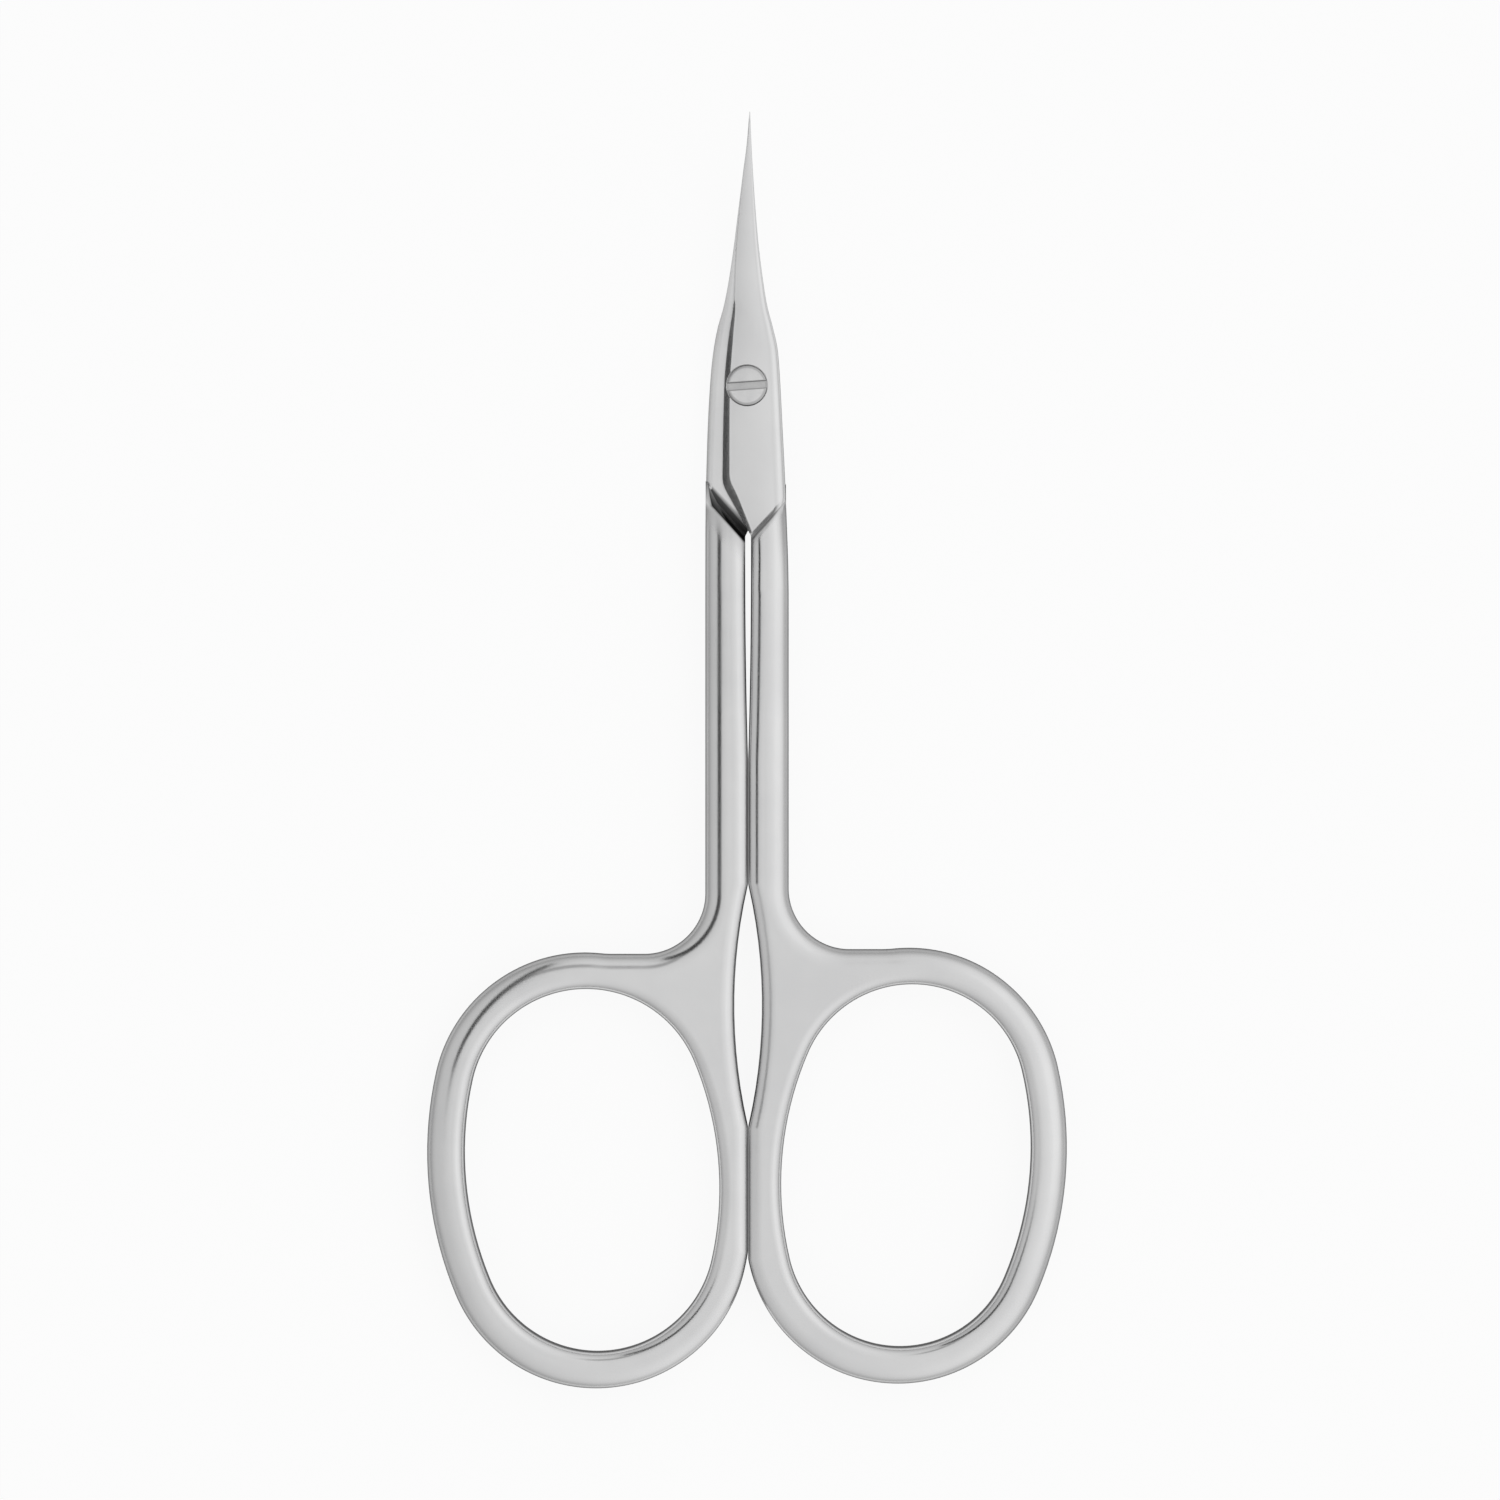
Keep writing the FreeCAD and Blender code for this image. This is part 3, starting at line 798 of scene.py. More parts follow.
    def shoulder_rows(self) -> list[Section]:
        """Steps the outer face down and the mating side up to the lap, along the shoulder.

        Returns:
            The sections, in order towards the tip.
        """
        levels = [(-self.edge_break, 0.0), (0.0, self.edge_break),
                  (self.wall_lean, self.shoulder_wall)]
        root = self.lap_level - self.shoulder_wall
        for step in range(1, self.root_count + 1):
            angle = step / self.root_count * math.pi / 2
            levels.append((self.wall_lean + self.shoulder_root * (1 - math.cos(angle)),
                           self.shoulder_wall + root * math.sin(angle)))
        span = self.step_end - self.step_start
        start_level = THICKNESS - self.step_lead
        step_down = start_level - self.plate_level
        rows = []
        for distance, low in levels:
            inner = self.meet(self.inner_x, distance)
            outer = self.meet(self.outer.at, distance)
            share = min(1.0, (distance - self.step_start) / span)
            plate = self.plate_corners(inner[1], outer[1])
            lift = max(0.0, (low - self.shoulder_wall) / root)
            if low < self.shoulder_wall:
                outer_low, inner_low = OUTER_ROUND, INNER_ROUND
            else:
                outer_low = self.wall_outer.mixed(plate[1], lift)
                inner_low = self.wall_inner.mixed(plate[3], lift)
            left = self.wall_lean + self.shoulder_root - distance
            slide = left / math.cos(math.radians(self.shoulder_angle))
            rows.append(Section(inner, outer, low, start_level - step_down * share,
                                OUTER_ROUND.mixed(plate[0], share), outer_low,
                                INNER_ROUND.mixed(plate[2], share), inner_low,
                                self.plate_crown * share, slide))
        return rows

    def plate_rows(self) -> list[Section]:
        """Runs the joint plate from the shoulder's foot to the root of the blade.

        Returns:
            The sections, in order towards the tip.
        """
        start = self.wall_lean + self.shoulder_root
        inner_start = self.meet(self.inner_x, start)[1]
        outer_start = self.meet(self.outer.at, start)[1]
        rows = []
        for step in range(1, self.plate_count + 1):
            share = step / self.plate_count
            inner_y = inner_start + (self.root_y - inner_start) * share
            outer_y = outer_start + (self.root_y - outer_start) * share
            rows.append(Section((self.inner_x(inner_y), inner_y),
                                (self.outer.at(outer_y), outer_y),
                                self.lap_level, self.plate_level,
                                *self.plate_corners(inner_y, outer_y), self.plate_crown))
        return rows

    def blade_rows(self) -> list[Section]:
        """Runs the blade from its root to the tip, curving out of the plane and thinning.

        Returns:
            The sections, in order towards the tip.
        """
        rows = []
        for step in range(1, self.blade_count + 1):
            share = step / self.blade_count
            y = self.root_y + (self.tip_y - self.root_y) * share
            low = self.lap_level + self.blade_bend * self.blade_rise * share * share
            rows.append(Section((self.back.at(y), y), (self.outer.at(y), y),
                                low, low + self.thickness.at(y),
                                *self.plate_corners(y, y), self.plate_crown * (1 - share)))
        return rows

    # The finished piece

    def build(self) -> bpy.types.Object:
        """Models the half and puts it in its place.

        Returns:
            The finished piece.
        """
        mesh = bmesh.new()
        rim = self.sweep_outline(mesh)
        row = self.close_cut(mesh, rim)
        sections = (self.shank_rows() + self.shoulder_rows() + self.plate_rows()
                    + self.blade_rows())
        for section in sections:
            row = extrude_along(mesh, row, section.points(), True)
        mesh.faces.new(row)
        self.sweep_hole(mesh)
        self.fill_faces(mesh)
        bmesh.ops.recalc_face_normals(mesh, faces=mesh.faces)
        piece = link(mesh, self.side.value + "_steel")
        cut_away(piece, turned(list(self.bore), BORE_STEPS))
        self.mark_shade_and_matt(piece)
        place = Matrix.Translation((0.0, PIVOT.y / MM, 0.0))
        if self.side is Side.LOWER:
            place = place @ Matrix.Translation((0, 0, THICKNESS)) @ Matrix.Rotation(math.pi, 4, "Y")
        finish_mesh(piece, place)
        return piece

    def mark_shade_and_matt(self, piece: bpy.types.Object) -> None:
        """Marks where shade is painted onto the steel, and where no polishing wheel reaches.

        Args:
            piece: the half, still in millimetres about the pivot axis.
        """
        names = ("painted_shade", "matt")
        for name in names:
            piece.data.attributes.new(name, "FLOAT", "POINT")
        painted_shade, matt = (piece.data.attributes[name].data for name in names)
        for vert, mark, haze in zip(piece.data.vertices, painted_shade, matt):
            distance = self.past_shoulder(vert.co)
            # Painted shade, kept in the mask that darkens the base colour.
            mark.value = self.painted_shade_at(vert.co, distance)
            if distance < self.edge_break:
                haze.value = 1 - smooth(-distance / self.matt_reach)

    def painted_shade_at(self, place: Vector, distance: float) -> float:
        """Works out how much painted shade darkens the steel at one place.

        Args:
            place: the place on the half.
            distance: how far it lies past the shoulder's edge.

        Returns:
            The darkening, from 0 for bright steel to 1.
        """
        x, y, level = place
        inset = self.outer.at(y) - x
        drop = min(level, THICKNESS - level)
        # Painted shade on the steep sides, darkest halfway between the two faces.
        darker = self.side_painted_shade * smooth((drop - self.side_start) / self.side_blend)
        if y < self.cut_y:
            # Painted shade where the two halves touch, at the rings' stops and along the shanks.
            gap = x - self.skew - self.stop_gap
            touch = self.contact_painted_shade.at(y) * (1 - smooth(gap / self.contact_reach))
            return max(darker, touch * (1 - smooth((drop - self.contact_drop) / self.contact_blend)))
        if distance < self.step_start:
            return darker
        if level < self.lap_level:
            # Painted shade in the shoulder's root, with a painted lighter streak across it.
            start = self.shoulder_root * outer_end(inset) - self.root_lead
            return smooth((distance - start) / self.root_blend) * self.root_painted_shade.at(distance)
        step = 0.0
        # Painted shade along the step down to the joint plate.
        if level > self.plate_level - self.bevel_depth.at(y):
            step = self.step_painted_shade.at(distance) * smooth((inset - self.step_inset) / self.step_blend)
        # Painted shade on the outer side of plate and blade, fading towards the tip.
        side = self.side_painted_shade * self.side_fade.at(y) * (1 - smooth(inset / self.side_reach))
        return max(step, side)

    def dress(self, piece: bpy.types.Object, finish: bpy.types.Material) -> None:
        """Gives the half its steel, ties it to its body and hides the CAD node that it stands in
        for.

        Args:
            piece: the finished half.
            finish: its steel.
        """
        piece.data.materials.append(finish)
        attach(piece, self.side.value)
        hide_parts(self.side.value)


@dataclass
class PivotScrew:
    """The slotted screw that holds the halves together."""

    end_level: float = 0.4
    thread_radius: float = 0.85
    journal_level: float = 1.5
    journal_radius: float = 1.0
    head_bottom: float = 2.19
    head_top: float = 2.74
    head_radius: float = 1.46
    head_break: float = 0.13
    head_crown: float = 0.02
    crown_shares: tuple[float, ...] = (0.96, 0.75, 0.5, 0.25, 0.0)
    slot_overrun: float = 4.0
    slot_width: float = 0.55
    slot_depth: float = 0.32
    slot_turn: float = 4.0

    def profile(self) -> list[tuple[float, float]]:
        """Lists the turned profile.

        Returns:
            (radius, level) pairs from the thread's end to the middle of the head.
        """
        points = [
            (0.0, self.end_level),
            (self.thread_radius - self.head_break, self.end_level),
            (self.thread_radius, self.end_level + self.head_break),
            (self.thread_radius, self.journal_level),
            (self.journal_radius, self.journal_level),
            (self.journal_radius, self.head_bottom),
            (self.head_radius, self.head_bottom),
        ]
        rim = self.head_top - self.head_crown
        for inset, drop in reversed(Corner(self.head_break, self.head_break).points()):
            points.append((self.head_radius - inset, rim - drop))
        flat = self.head_radius - self.head_break
        for share in self.crown_shares:
            points.append((flat * share, rim + self.head_crown * (1 - share * share)))
        return points

    def slot_cutter(self) -> bmesh.types.BMesh:
        """Makes the cutter for the driver slot.

        Returns:
            A bar across the head, in millimetres.
        """
        tool = bmesh.new()
        bmesh.ops.create_cube(tool, size=1.0)
        size = (self.slot_overrun * self.head_radius, self.slot_width, 2 * self.slot_depth)
        bmesh.ops.scale(tool, vec=size, verts=tool.verts)
        bmesh.ops.rotate(tool, cent=(0, 0, 0), verts=tool.verts,
                         matrix=Matrix.Rotation(math.radians(self.slot_turn), 3, "Z"))
        bmesh.ops.translate(tool, vec=(0, 0, self.head_top), verts=tool.verts)
        return tool

    def build(self) -> bpy.types.Object:
        """Turns the screw, cuts its slot and puts it in its place.

        Returns:
            The finished piece.
        """
        piece = link(turned(self.profile(), SCREW_STEPS), "pivot_screw_steel")
        cut_away(piece, self.slot_cutter())
        finish_mesh(piece, Matrix.Translation((0.0, PIVOT.y / MM, 0.0)))
        return piece

    def dress(self, piece: bpy.types.Object, finish: bpy.types.Material) -> None:
        """Gives the screw its steel, ties it to the lower half's body and hides the CAD node that
        it stands in for.

        Args:
            piece: the finished screw.
            finish: its steel.
        """
        piece.data.materials.append(finish)
        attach(piece, "lower_half")
        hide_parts("pivot_screw")


class Nodes:
    """Adds and joins the nodes of one node tree."""

    MIX_INPUTS = (0, 6, 7)
    MIX_RESULT = 2

    def __init__(self, tree: bpy.types.NodeTree) -> None:
        """Starts with an emptied tree."""
        self.tree = tree
        tree.nodes.clear()

    def feed(self, socket: bpy.types.NodeSocket, value: object) -> None:
        """Gives an input its value.

        Args:
            socket: the input.
            value: an output to link it to, or a plain value to set.
        """
        if isinstance(value, bpy.types.NodeSocket):
            self.tree.links.new(value, socket)
        else:
            socket.default_value = value

    def add(self, kind: str, **values: object) -> bpy.types.Node:
        """Adds a node and sets its properties and inputs.

        Args:
            kind: the node's type.
            values: properties by name, or inputs by name with spaces as underscores.

        Returns:
            The new node.
        """
        node = self.tree.nodes.new(kind)
        for name, value in values.items():
            if hasattr(node, name):
                setattr(node, name, value)
            else:
                self.feed(node.inputs[name.replace("_", " ")], value)
        return node

    def math(self, operation: str, *terms: Term) -> bpy.types.NodeSocket:
        """Adds a sum.

        Args:
            operation: what is done with the terms.
            terms: the numbers or outputs that go in.

        Returns:
            The result.
        """
        node = self.add("ShaderNodeMath", operation=operation)
        for socket, term in zip(node.inputs, terms):
            self.feed(socket, term)
        return node.outputs[0]

    def mix(self, factor: Term, first: Colour | Term, second: Colour | Term
            ) -> bpy.types.NodeSocket:
        """Mixes two colours.

        Args:
            factor: share of the second colour.
            first: a colour or an output.
            second: a colour or an output.

        Returns:
            The mixed colour.
        """
        node = self.add("ShaderNodeMix", data_type="RGBA")
        for place, value in zip(self.MIX_INPUTS, (factor, first, second)):
            self.feed(node.inputs[place], value)
        return node.outputs[self.MIX_RESULT]

    def ramp(self, factor: bpy.types.NodeSocket, levels: Pairs) -> bpy.types.NodeSocket:
        """Adds a ramp of greys.

        Args:
            factor: the place on the ramp.
            levels: (place, grey) pairs that the ramp goes through.

        Returns:
            The grey there.
        """
        node = self.add("ShaderNodeValToRGB")
        self.feed(node.inputs[0], factor)
        stops = node.color_ramp.elements
        for place, _ in levels[2:]:
            stops.new(place)
        for stop, (place, level) in zip(stops, levels):
            stop.position = place
            stop.color = (level, level, level, 1.0)
        return node.outputs["Color"]


def new_material(name: str) -> tuple[bpy.types.Material, Nodes]:
    """Starts a material with an empty node tree.

    Args:
        name: the material's name.

    Returns:
        The material and its node helper.
    """
    material = bpy.data.materials.new(name)
    material.use_nodes = True
    return material, Nodes(material.node_tree)


def new_group(name: str, inputs: list[tuple[str, str]], outputs: list[str]
              ) -> tuple[bpy.types.NodeTree, Nodes, bpy.types.Node, bpy.types.Node]:
    """Starts a shader node group with named sockets.

    Args:
        name: the group's name.
        inputs: (name, socket type) pairs.
        outputs: names of its values.

    Returns:
        The group, its node helper, its input node and its output node.
    """
    group = bpy.data.node_groups.new(name, "ShaderNodeTree")
    for label, kind in inputs:
        group.interface.new_socket(label, in_out="INPUT", socket_type=kind)
    for label in outputs:
        group.interface.new_socket(label, in_out="OUTPUT", socket_type="NodeSocketFloat")
    nodes = Nodes(group)
    return group, nodes, nodes.add("NodeGroupInput"), nodes.add("NodeGroupOutput")


def polishing_group() -> bpy.types.NodeTree:
    """Makes the fine lines and specks that a polishing wheel leaves.

    Returns:
        A group with a Vector, Fineness and Stretch in, and Lines and Specks out.
    """
    group, nodes, given, made = new_group(
        "polishing_lines",
        [("Vector", "NodeSocketVector"), ("Fineness", "NodeSocketFloat"),
         ("Stretch", "NodeSocketVector")],
        ["Lines", "Specks"])
    drawn = nodes.add("ShaderNodeVectorMath", operation="MULTIPLY")
    nodes.feed(drawn.inputs[0], given.outputs["Vector"])
    nodes.feed(drawn.inputs[1], given.outputs["Stretch"])
    lines = nodes.add("ShaderNodeTexNoise", Vector=drawn.outputs[0],
                      Scale=given.outputs["Fineness"], Detail=3.0, Roughness=0.6)
    specks = nodes.add("ShaderNodeTexNoise", Vector=given.outputs["Vector"],
                       Scale=given.outputs["Fineness"], Detail=2.0, Roughness=0.5)
    nodes.feed(made.inputs["Lines"], lines.outputs["Fac"])
    nodes.feed(made.inputs["Specks"], specks.outputs["Fac"])
    return group


def handling_group() -> bpy.types.NodeTree:
    """Makes the soft cloudy patches that polishing and handling leave on steel.

    Returns:
        A group with a Vector and Patch Scale in, and Cloud out.
    """
    group, nodes, given, made = new_group(
        "handling_clouds", [("Vector", "NodeSocketVector"), ("Patch Scale", "NodeSocketFloat")],
        ["Cloud"])
    cloud = nodes.add("ShaderNodeTexNoise", Vector=given.outputs["Vector"],
                      Scale=given.outputs["Patch Scale"], Detail=4.0, Roughness=0.55)
    spread = nodes.add("ShaderNodeMapRange", Value=cloud.outputs["Fac"], From_Min=0.35,
                       From_Max=0.68)
    nodes.feed(made.inputs["Cloud"], spread.outputs["Result"])
    return group


@dataclass(frozen=True, kw_only=True)
class Steel:
    """What both steels have in common: polishing lines, clouds from handling, and painted shade."""

    name: str
    bright: Colour
    darker: Colour
    # Colour of the painted shade.
    painted_shade_colour: Colour
    cloud_size: float
    cloud_tint: float
    stretch: tuple[float, float, float]
    roughness: float
    grain: float
    bump: float
    bump_height: float = 0.00002
    fineness: float = 9000.0

    def marks(self, nodes: Nodes, place: bpy.types.NodeSocket, lines: bpy.types.NodeTree,
              clouds: bpy.types.NodeTree) -> tuple[bpy.types.Node, bpy.types.NodeSocket]:
        """Lays the polishing lines and the clouds from handling.

        Args:
            nodes: the material's node helper.
            place: the place on the piece.
            lines: the polishing group.
            clouds: the handling group.

        Returns:
            The polishing node and the cloud.
        """
        wheel = nodes.add("ShaderNodeGroup", node_tree=lines, Vector=place,
                          Fineness=self.fineness, Stretch=self.stretch)
        hand = nodes.add("ShaderNodeGroup", node_tree=clouds, Vector=place,
                         Patch_Scale=self.cloud_size)
        return wheel, hand.outputs["Cloud"]

    def surface(self, nodes: Nodes, colour: bpy.types.NodeSocket, rough: bpy.types.NodeSocket,
                height: bpy.types.NodeSocket) -> None:
        """Joins colour, roughness and fine relief to the metal's surface.

        Args:
            nodes: the material's node helper.
            colour: the colour.
            rough: the roughness.
            height: the fine relief.
        """
        bump = nodes.add("ShaderNodeBump", Strength=self.bump, Distance=self.bump_height,
                         Height=height)
        shader = nodes.add("ShaderNodeBsdfPrincipled", Base_Color=colour, Metallic=1.0,
                           Roughness=rough, Specular_Tint=EDGE_TINT,
                           Normal=bump.outputs["Normal"])
        nodes.add("ShaderNodeOutputMaterial", Surface=shader.outputs["BSDF"])


@dataclass(frozen=True, kw_only=True)
class SatinSteel(Steel):
    """Forged and polished steel, darkened by painted shade on its sides and in its recesses, and
    matt beside them.
    """

    name: str = "satin_steel"
    bright: Colour = (0.79, 0.79, 0.79, 1.0)
    darker: Colour = (0.72, 0.72, 0.725, 1.0)
    # Colour of the painted shade: nearly black.
    painted_shade_colour: Colour = (0.04, 0.04, 0.04, 1.0)
    cloud_size: float = 160.0
    cloud_tint: float = 0.6
    line_tint: float = 0.35
    stretch: tuple[float, float, float] = (1.0, 0.06, 1.0)
    roughness: float = 0.12
    grain: float = 0.06
    cloud_roughness: float = 0.05
    painted_shade_roughness: float = 0.35
    matt_roughness: float = 0.4
    bump: float = 0.05

    def material(self, lines: bpy.types.NodeTree, clouds: bpy.types.NodeTree) -> bpy.types.Material:
        """Builds the finish.

        Args:
            lines: the polishing group.
            clouds: the handling group.

        Returns:
            The material.
        """
        material, nodes = new_material(self.name)
        place = nodes.add("ShaderNodeTexCoord").outputs["Object"]
        wheel, cloud = self.marks(nodes, place, lines, clouds)
        painted_shade = nodes.add("ShaderNodeAttribute", attribute_name="painted_shade").outputs["Fac"]
        matt = nodes.add("ShaderNodeAttribute", attribute_name="matt").outputs["Fac"]
        tint = nodes.math("MULTIPLY", cloud, self.cloud_tint)
        tint = nodes.math("MULTIPLY_ADD", wheel.outputs["Lines"], self.line_tint, tint)
        steel = nodes.mix(tint, self.bright, self.darker)
        # Painted shade: the mask darkens the steel towards a near black.
        colour = nodes.mix(painted_shade, steel, self.painted_shade_colour)
        rough = self.roughness
        for mark, share in ((wheel.outputs["Specks"], self.grain), (cloud, self.cloud_roughness),
                            (painted_shade, self.painted_shade_roughness), (matt, self.matt_roughness)):
            rough = nodes.math("MULTIPLY_ADD", mark, share, rough)
        self.surface(nodes, colour, rough, wheel.outputs["Lines"])
        return material


@dataclass(frozen=True, kw_only=True)
class TurnedSteel(Steel):
    """The screw's steel, with the lathe's fine rings and painted shade in its slot and round its
    head.
    """

    slot_turn: float
    name: str = "screw_steel"
    bright: Colour = (0.77, 0.77, 0.77, 1.0)
    darker: Colour = (0.66, 0.66, 0.665, 1.0)
    # Colour of the painted shade: nearly black.
    painted_shade_colour: Colour = (0.06, 0.06, 0.06, 1.0)
    cloud_size: float = 900.0
    cloud_tint: float = 0.7
    stretch: tuple[float, float, float] = (1.0, 0.3, 1.0)
    roughness: float = 0.2
    grain: float = 0.08
    ring_pitch: float = 0.00012
    ring_height: float = 0.6
    bump: float = 0.06
    head_level: float = 0.0021
    # Painted shade in the slot and round the head's rim, by distance from the slot's middle and
    # from the axis.
    painted_shade_reach: float = 0.002
    slot_painted_shade: Pairs = ((0.0, 0.24), (0.11, 0.27), (0.125, 0.55), (0.15, 0.55), (0.175, 0.0))
    rim_painted_shade: Pairs = ((0.6, 0.0), (0.65, 0.33), (0.73, 0.42), (0.76, 0.3))

    def material(self, lines: bpy.types.NodeTree, clouds: bpy.types.NodeTree) -> bpy.types.Material:
        """Builds the finish.

        Args:
            lines: the polishing group.
            clouds: the handling group.

        Returns:
            The material.
        """
        material, nodes = new_material(self.name)
        place = nodes.add("ShaderNodeTexCoord").outputs["Object"]
        wheel, cloud = self.marks(nodes, place, lines, clouds)
        centred = nodes.add("ShaderNodeMapping", Vector=place,
                            Location=(0.0, -PIVOT.y, 0.0)).outputs["Vector"]
        radius = self.from_axis(nodes, centred)
        tint = nodes.math("MULTIPLY", cloud, self.cloud_tint)
        steel = nodes.mix(tint, self.bright, self.darker)
        # Painted shade in the slot and round the head.
        colour = nodes.mix(self.slot_and_rim_shade(nodes, centred, radius), steel, self.painted_shade_colour)
        rough = nodes.math("MULTIPLY_ADD", wheel.outputs["Specks"], self.grain, self.roughness)
        turns = nodes.math("MULTIPLY", radius, math.tau / self.ring_pitch)
        rings = nodes.math("MULTIPLY_ADD", nodes.math("SINE", turns), 0.5, 0.5)
        height = nodes.math("MULTIPLY_ADD", rings, self.ring_height, wheel.outputs["Lines"])
        self.surface(nodes, colour, rough, height)
        return material

    def from_axis(self, nodes: Nodes, centred: bpy.types.NodeSocket) -> bpy.types.NodeSocket:
        """Measures the distance from the screw's axis.

        Args:
            nodes: the material's node helper.
            centred: the place, measured from the axis.

        Returns:
            The distance.
        """
        flat = nodes.add("ShaderNodeVectorMath", operation="MULTIPLY")
        nodes.feed(flat.inputs[0], centred)
        nodes.feed(flat.inputs[1], (1.0, 1.0, 0.0))
        radius = nodes.add("ShaderNodeVectorMath", operation="LENGTH")
        nodes.feed(radius.inputs[0], flat.outputs["Vector"])
        return radius.outputs["Value"]

    def slot_and_rim_shade(self, nodes: Nodes, centred: bpy.types.NodeSocket, radius: bpy.types.NodeSocket
             ) -> bpy.types.NodeSocket:
        """Paints shade in the slot and round the head's rim.

        Args:
            nodes: the material's node helper.
            centred: the place, measured from the axis.
            radius: its distance from the axis.

        Returns:
            How much painted shade the place gets.
        """
        along = nodes.add("ShaderNodeMapping", Vector=centred,
                          Rotation=(0.0, 0.0, -math.radians(self.slot_turn)))
        spot = nodes.add("ShaderNodeSeparateXYZ", Vector=along.outputs["Vector"])
        off_slot = nodes.math("ABSOLUTE", spot.outputs["Y"])
        slot, rim = (nodes.ramp(nodes.math("MULTIPLY", gap, 1.0 / self.painted_shade_reach), levels)
                     for gap, levels in ((off_slot, self.slot_painted_shade), (radius, self.rim_painted_shade)))
        on_head = nodes.math("GREATER_THAN", spot.outputs["Z"], self.head_level)
        return nodes.math("MULTIPLY", nodes.math("MAXIMUM", slot, rim), on_head)


@dataclass
class Studio:
    """A white table in soft light from all round, brighter on the right, and the camera above."""

    floor_size: float = 3.0
    floor_level: float = -0.00003
    floor_colour: Colour = (0.95, 0.95, 0.95, 1.0)
    floor_glow: float = 0.9
    sky: Pairs = ((-1.0, 0.72), (-0.7, 0.66), (-0.5, 0.66), (-0.3, 0.71), (0.0, 0.8), (0.3, 0.9),
                  (0.6, 0.95), (1.0, 0.95))
    height: Pairs = ((0.0, 0.66), (0.3, 0.78), (0.6, 0.94), (0.85, 1.0))
    side_card: Pairs = ((-0.063, -0.062), (-0.02, 0.16), (0.104, 0.182))
    side_shade: float = 0.02
    back_card: Pairs = ((-0.06, -0.003), (0.075, 0.076), (0.14, 0.225))
    back_shade: float = 0.4
    lamp_place: tuple[float, float, float] = (0.7, 0.25, 0.8)
    lamp_size: float = 0.8
    lamp_power: float = 0.1
    camera_centre: tuple[float, float] = (0.000216, 0.000067)
    camera_height: float = 0.6
    focus_level: float = 0.0025
    view_width: float = 0.108
    sensor: float = 36.0

    def floor(self) -> None:
        """Lays the white floor, which shows as white and keeps a soft shadow."""
        mesh = bmesh.new()
        bmesh.ops.create_grid(mesh, x_segments=1, y_segments=1, size=self.floor_size / 2)
        bmesh.ops.translate(mesh, vec=(0, 0, self.floor_level), verts=mesh.verts)
        floor = link(mesh, "studio_floor")
        material, nodes = new_material("studio_white")
        path = nodes.add("ShaderNodeLightPath")
        seen = nodes.math("MAXIMUM", path.outputs["Is Camera Ray"], path.outputs["Is Glossy Ray"])
        seen = nodes.math("MAXIMUM", seen, path.outputs["Is Transmission Ray"])
        paper = nodes.add("ShaderNodeBsdfDiffuse", Color=self.floor_colour)
        glow = nodes.add("ShaderNodeEmission", Strength=1.0)
        mixed = nodes.add("ShaderNodeMixShader", Fac=nodes.math("MULTIPLY", seen, self.floor_glow))
        nodes.feed(mixed.inputs[1], paper.outputs[0])
        nodes.feed(mixed.inputs[2], glow.outputs[0])
        nodes.add("ShaderNodeOutputMaterial", Surface=mixed.outputs[0])
        floor.data.materials.append(material)

    def card(self, name: str, spans: Pairs, shade: float) -> None:
        """Stands a card beside the table, which only the steel's reflections show.

        Args:
            name: the card's name.
            spans: its two ends along x, y and z.
            shade: how bright it looks.
        """
        mesh = bmesh.new()
        bmesh.ops.create_cube(mesh, size=1.0)
        bmesh.ops.scale(mesh, vec=[high - low for low, high in spans], verts=mesh.verts)
        bmesh.ops.translate(mesh, vec=[(low + high) / 2 for low, high in spans], verts=mesh.verts)
        card = link(mesh, name)
        material, nodes = new_material(name)
        glow = nodes.add("ShaderNodeEmission", Strength=shade)
        nodes.add("ShaderNodeOutputMaterial", Surface=glow.outputs[0])
        card.data.materials.append(material)
        card.visible_camera = False
        card.visible_diffuse = False
        card.visible_shadow = False

    def light(self) -> None:
        """Sets the sky, white to the camera, and one soft lamp on the right."""
        world = bpy.data.worlds.new("studio_sky")
        bpy.context.scene.world = world
        world.use_nodes = True
        nodes = Nodes(world.node_tree)
        ray = nodes.add("ShaderNodeTexCoord").outputs["Generated"]
        parts = nodes.add("ShaderNodeSeparateXYZ", Vector=ray)
        along = nodes.math("MULTIPLY_ADD", parts.outputs["X"], 0.5, 0.5)
        sky = nodes.ramp(along, tuple((0.5 + place / 2, level) for place, level in self.sky))
        sky = nodes.math("MULTIPLY", sky, nodes.ramp(parts.outputs["Z"], self.height))
        path = nodes.add("ShaderNodeLightPath")
        colour = nodes.mix(path.outputs["Is Camera Ray"], sky, WHITE)
        back = nodes.add("ShaderNodeBackground", Color=colour, Strength=1.0)
        nodes.add("ShaderNodeOutputWorld", Surface=back.outputs[0])

        lamp = bpy.data.lights.new("studio_lamp", "AREA")
        lamp.size = self.lamp_size
        lamp.energy = self.lamp_power
        holder = bpy.data.objects.new("studio_lamp", lamp)
        holder.location = self.lamp_place
        holder.rotation_euler = (-Vector(self.lamp_place)).to_track_quat("-Z", "Y").to_euler()
        bpy.context.scene.collection.objects.link(holder)

    def camera(self) -> None:
        """Hangs the camera straight above, framed as the photograph is."""
        data = bpy.data.cameras.new("studio_camera")
        data.type = "PERSP"
        data.sensor_width = self.sensor
        data.lens = self.sensor * (self.camera_height - self.focus_level) / self.view_width
        camera = bpy.data.objects.new("studio_camera", data)
        camera.location = (*self.camera_centre, self.camera_height)
        bpy.context.scene.collection.objects.link(camera)
        bpy.context.scene.camera = camera

    def build(self) -> None:
        """Sets up floor, cards, light, camera and view."""
        self.floor()
        self.card("side_card", self.side_card, self.side_shade)
        self.card("back_card", self.back_card, self.back_shade)
        self.light()
        self.camera()
        bpy.context.scene.view_settings.view_transform = "Standard"


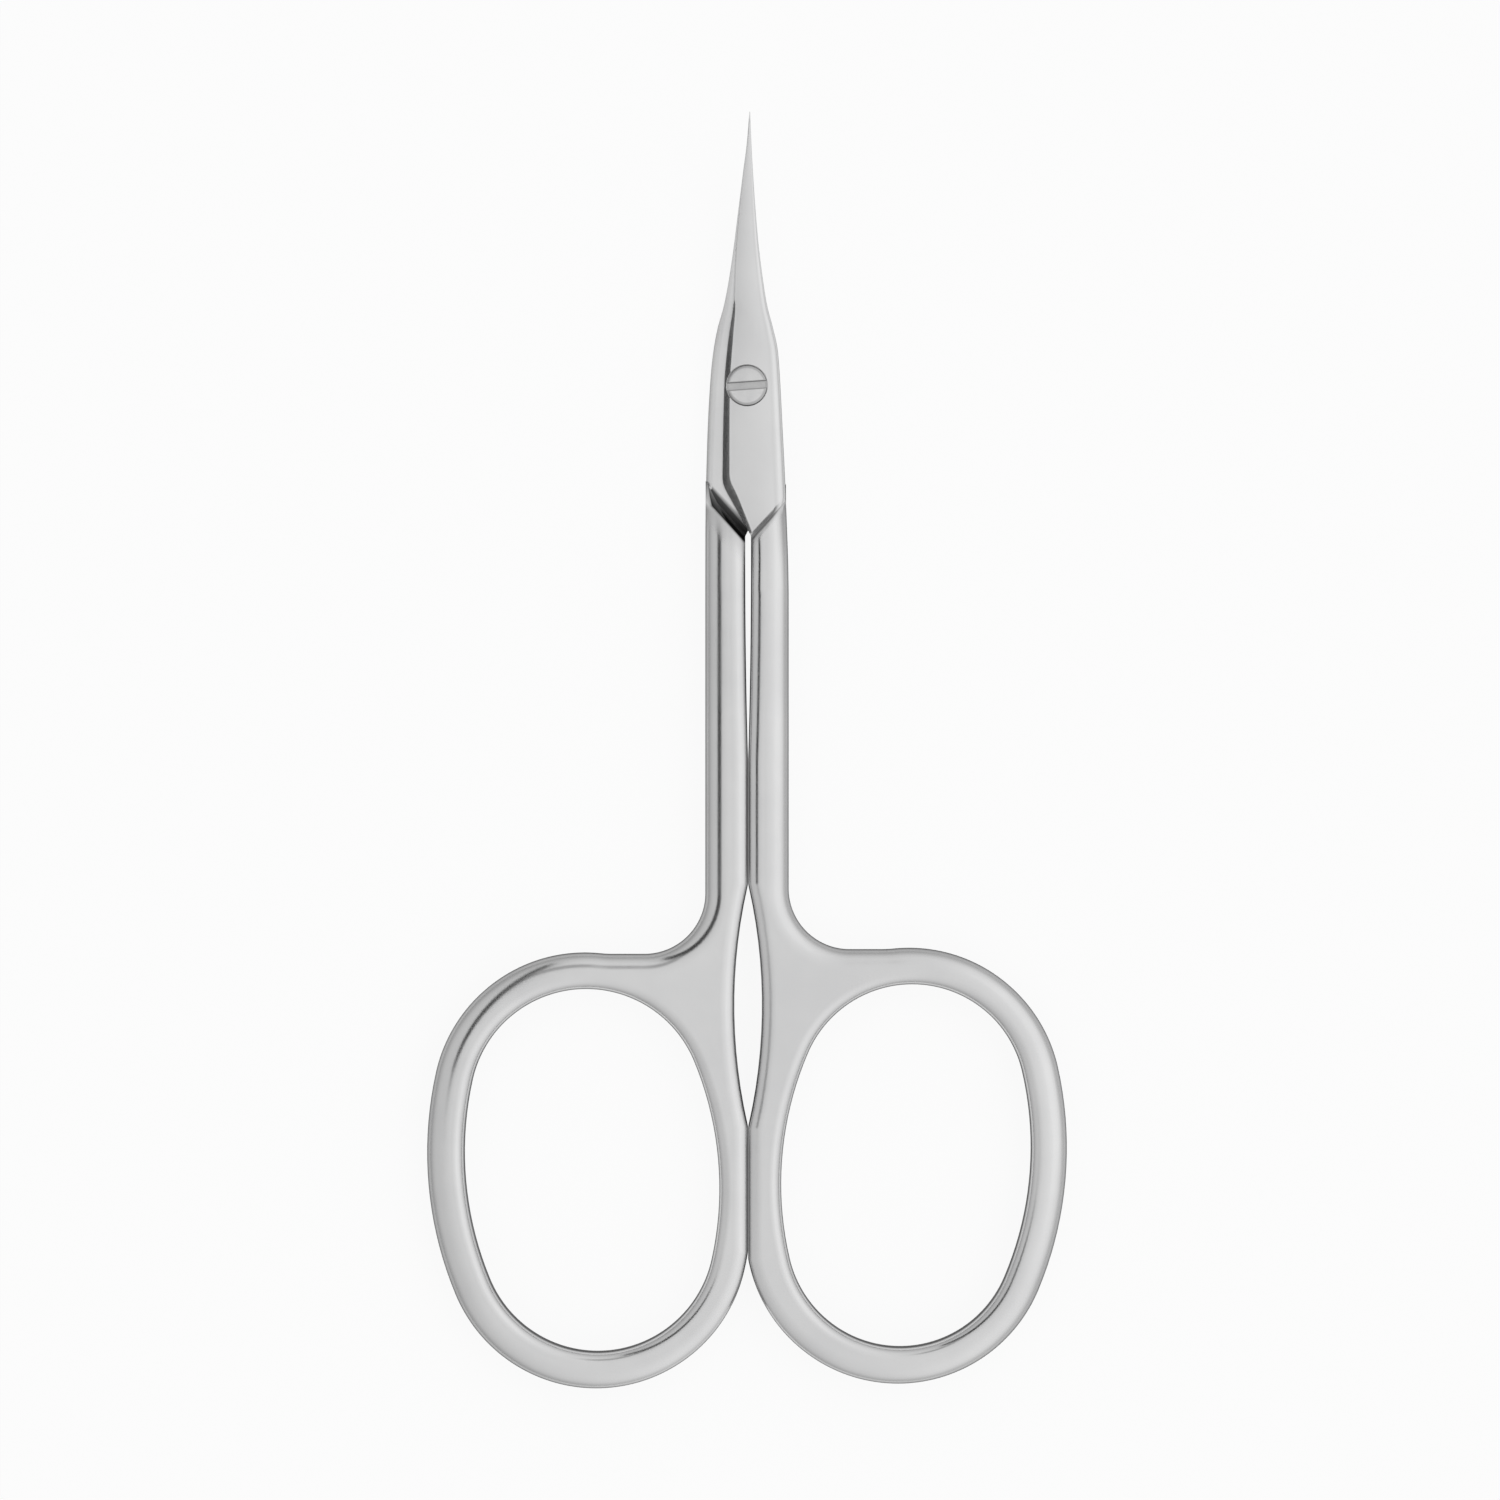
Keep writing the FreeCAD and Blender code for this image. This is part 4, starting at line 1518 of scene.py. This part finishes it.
UPPER_HALF = ScissorHalf(
    side=Side.UPPER,
    ring_y=-56.2,
    hole_x=11.47,
    hole_half_width=8.953,
    skew=0.08,
    outer=Run(((-15.0, 3.0), (-13.0, 2.97), (-10.0, 2.87), (-6.5, 2.73), (-2.9, 2.55), (0.72, 2.36),
               (2.5, 2.22), (4.1, 1.88), (5.8, 1.44), (7.6, 1.15), (10.15, 0.83), (12.7, 0.61),
               (15.3, 0.43), (17.5, 0.31), (19.6, 0.225))),
    back=Run(((-6.6, -1.76), (-4.0, -1.73), (0.3, -1.62), (2.5, -1.43), (4.0, -1.24), (5.55, -1.0),
              (6.5, -0.92), (8.4, -0.85), (10.15, -0.75), (12.7, -0.54), (15.3, -0.27), (17.5, 0.0),
              (19.6, 0.175))),
    lap_edge=Run(((-8.0, 0.04), (19.6, 0.01))),
    blade_bend=1.0,
    matt_reach=0.5,
    bore=((0.0, -1.0), (1.03, -1.0), (1.03, 2.17), (1.51, 2.17), (1.51, 5.0), (0.0, 5.0)),
)

LOWER_HALF = ScissorHalf(
    side=Side.LOWER,
    ring_y=-56.54,
    hole_x=11.18,
    hole_half_width=9.133,
    skew=-0.08,
    outer=Run(((-15.0, 3.0), (-10.0, 2.99), (-8.3, 2.98), (-6.5, 2.94), (-2.9, 2.83), (0.72, 2.62),
               (2.5, 2.43), (4.1, 2.14), (5.8, 1.67), (7.6, 1.32), (10.15, 0.94), (12.7, 0.62),
               (15.3, 0.29), (17.5, 0.0), (19.6, -0.175))),
    back=Run(((-6.6, -1.76), (0.3, -1.76), (2.5, -1.45), (5.0, -1.2), (7.6, -0.95), (10.15, -0.7),
              (12.7, -0.5), (15.3, -0.36), (17.5, -0.27), (19.6, -0.225))),
    lap_edge=Run(((-8.0, 0.45), (2.5, 0.5), (6.0, 0.35), (10.0, 0.12), (15.0, 0.03), (19.6, 0.01))),
    blade_bend=-1.0,
    matt_reach=1.5,
    bore=((0.0, -3.0), (0.86, -3.0), (0.86, 5.0), (0.0, 5.0)),
)


def main() -> None:
    """Builds the studio, the two halves and the screw, and reports each piece."""
    logging.basicConfig(level=logging.INFO, format="%(name)s: %(message)s")
    Studio().build()
    screw = PivotScrew()
    lines, clouds = polishing_group(), handling_group()
    satin = SatinSteel().material(lines, clouds)
    screw_steel = TurnedSteel(slot_turn=screw.slot_turn).material(lines, clouds)
    for part, finish in ((UPPER_HALF, satin), (LOWER_HALF, satin), (screw, screw_steel)):
        piece = part.build()
        part.dress(piece, finish)
        LOG.info("%s: %d faces", piece.name, len(piece.data.polygons))


if __name__ == "__main__":
    main()
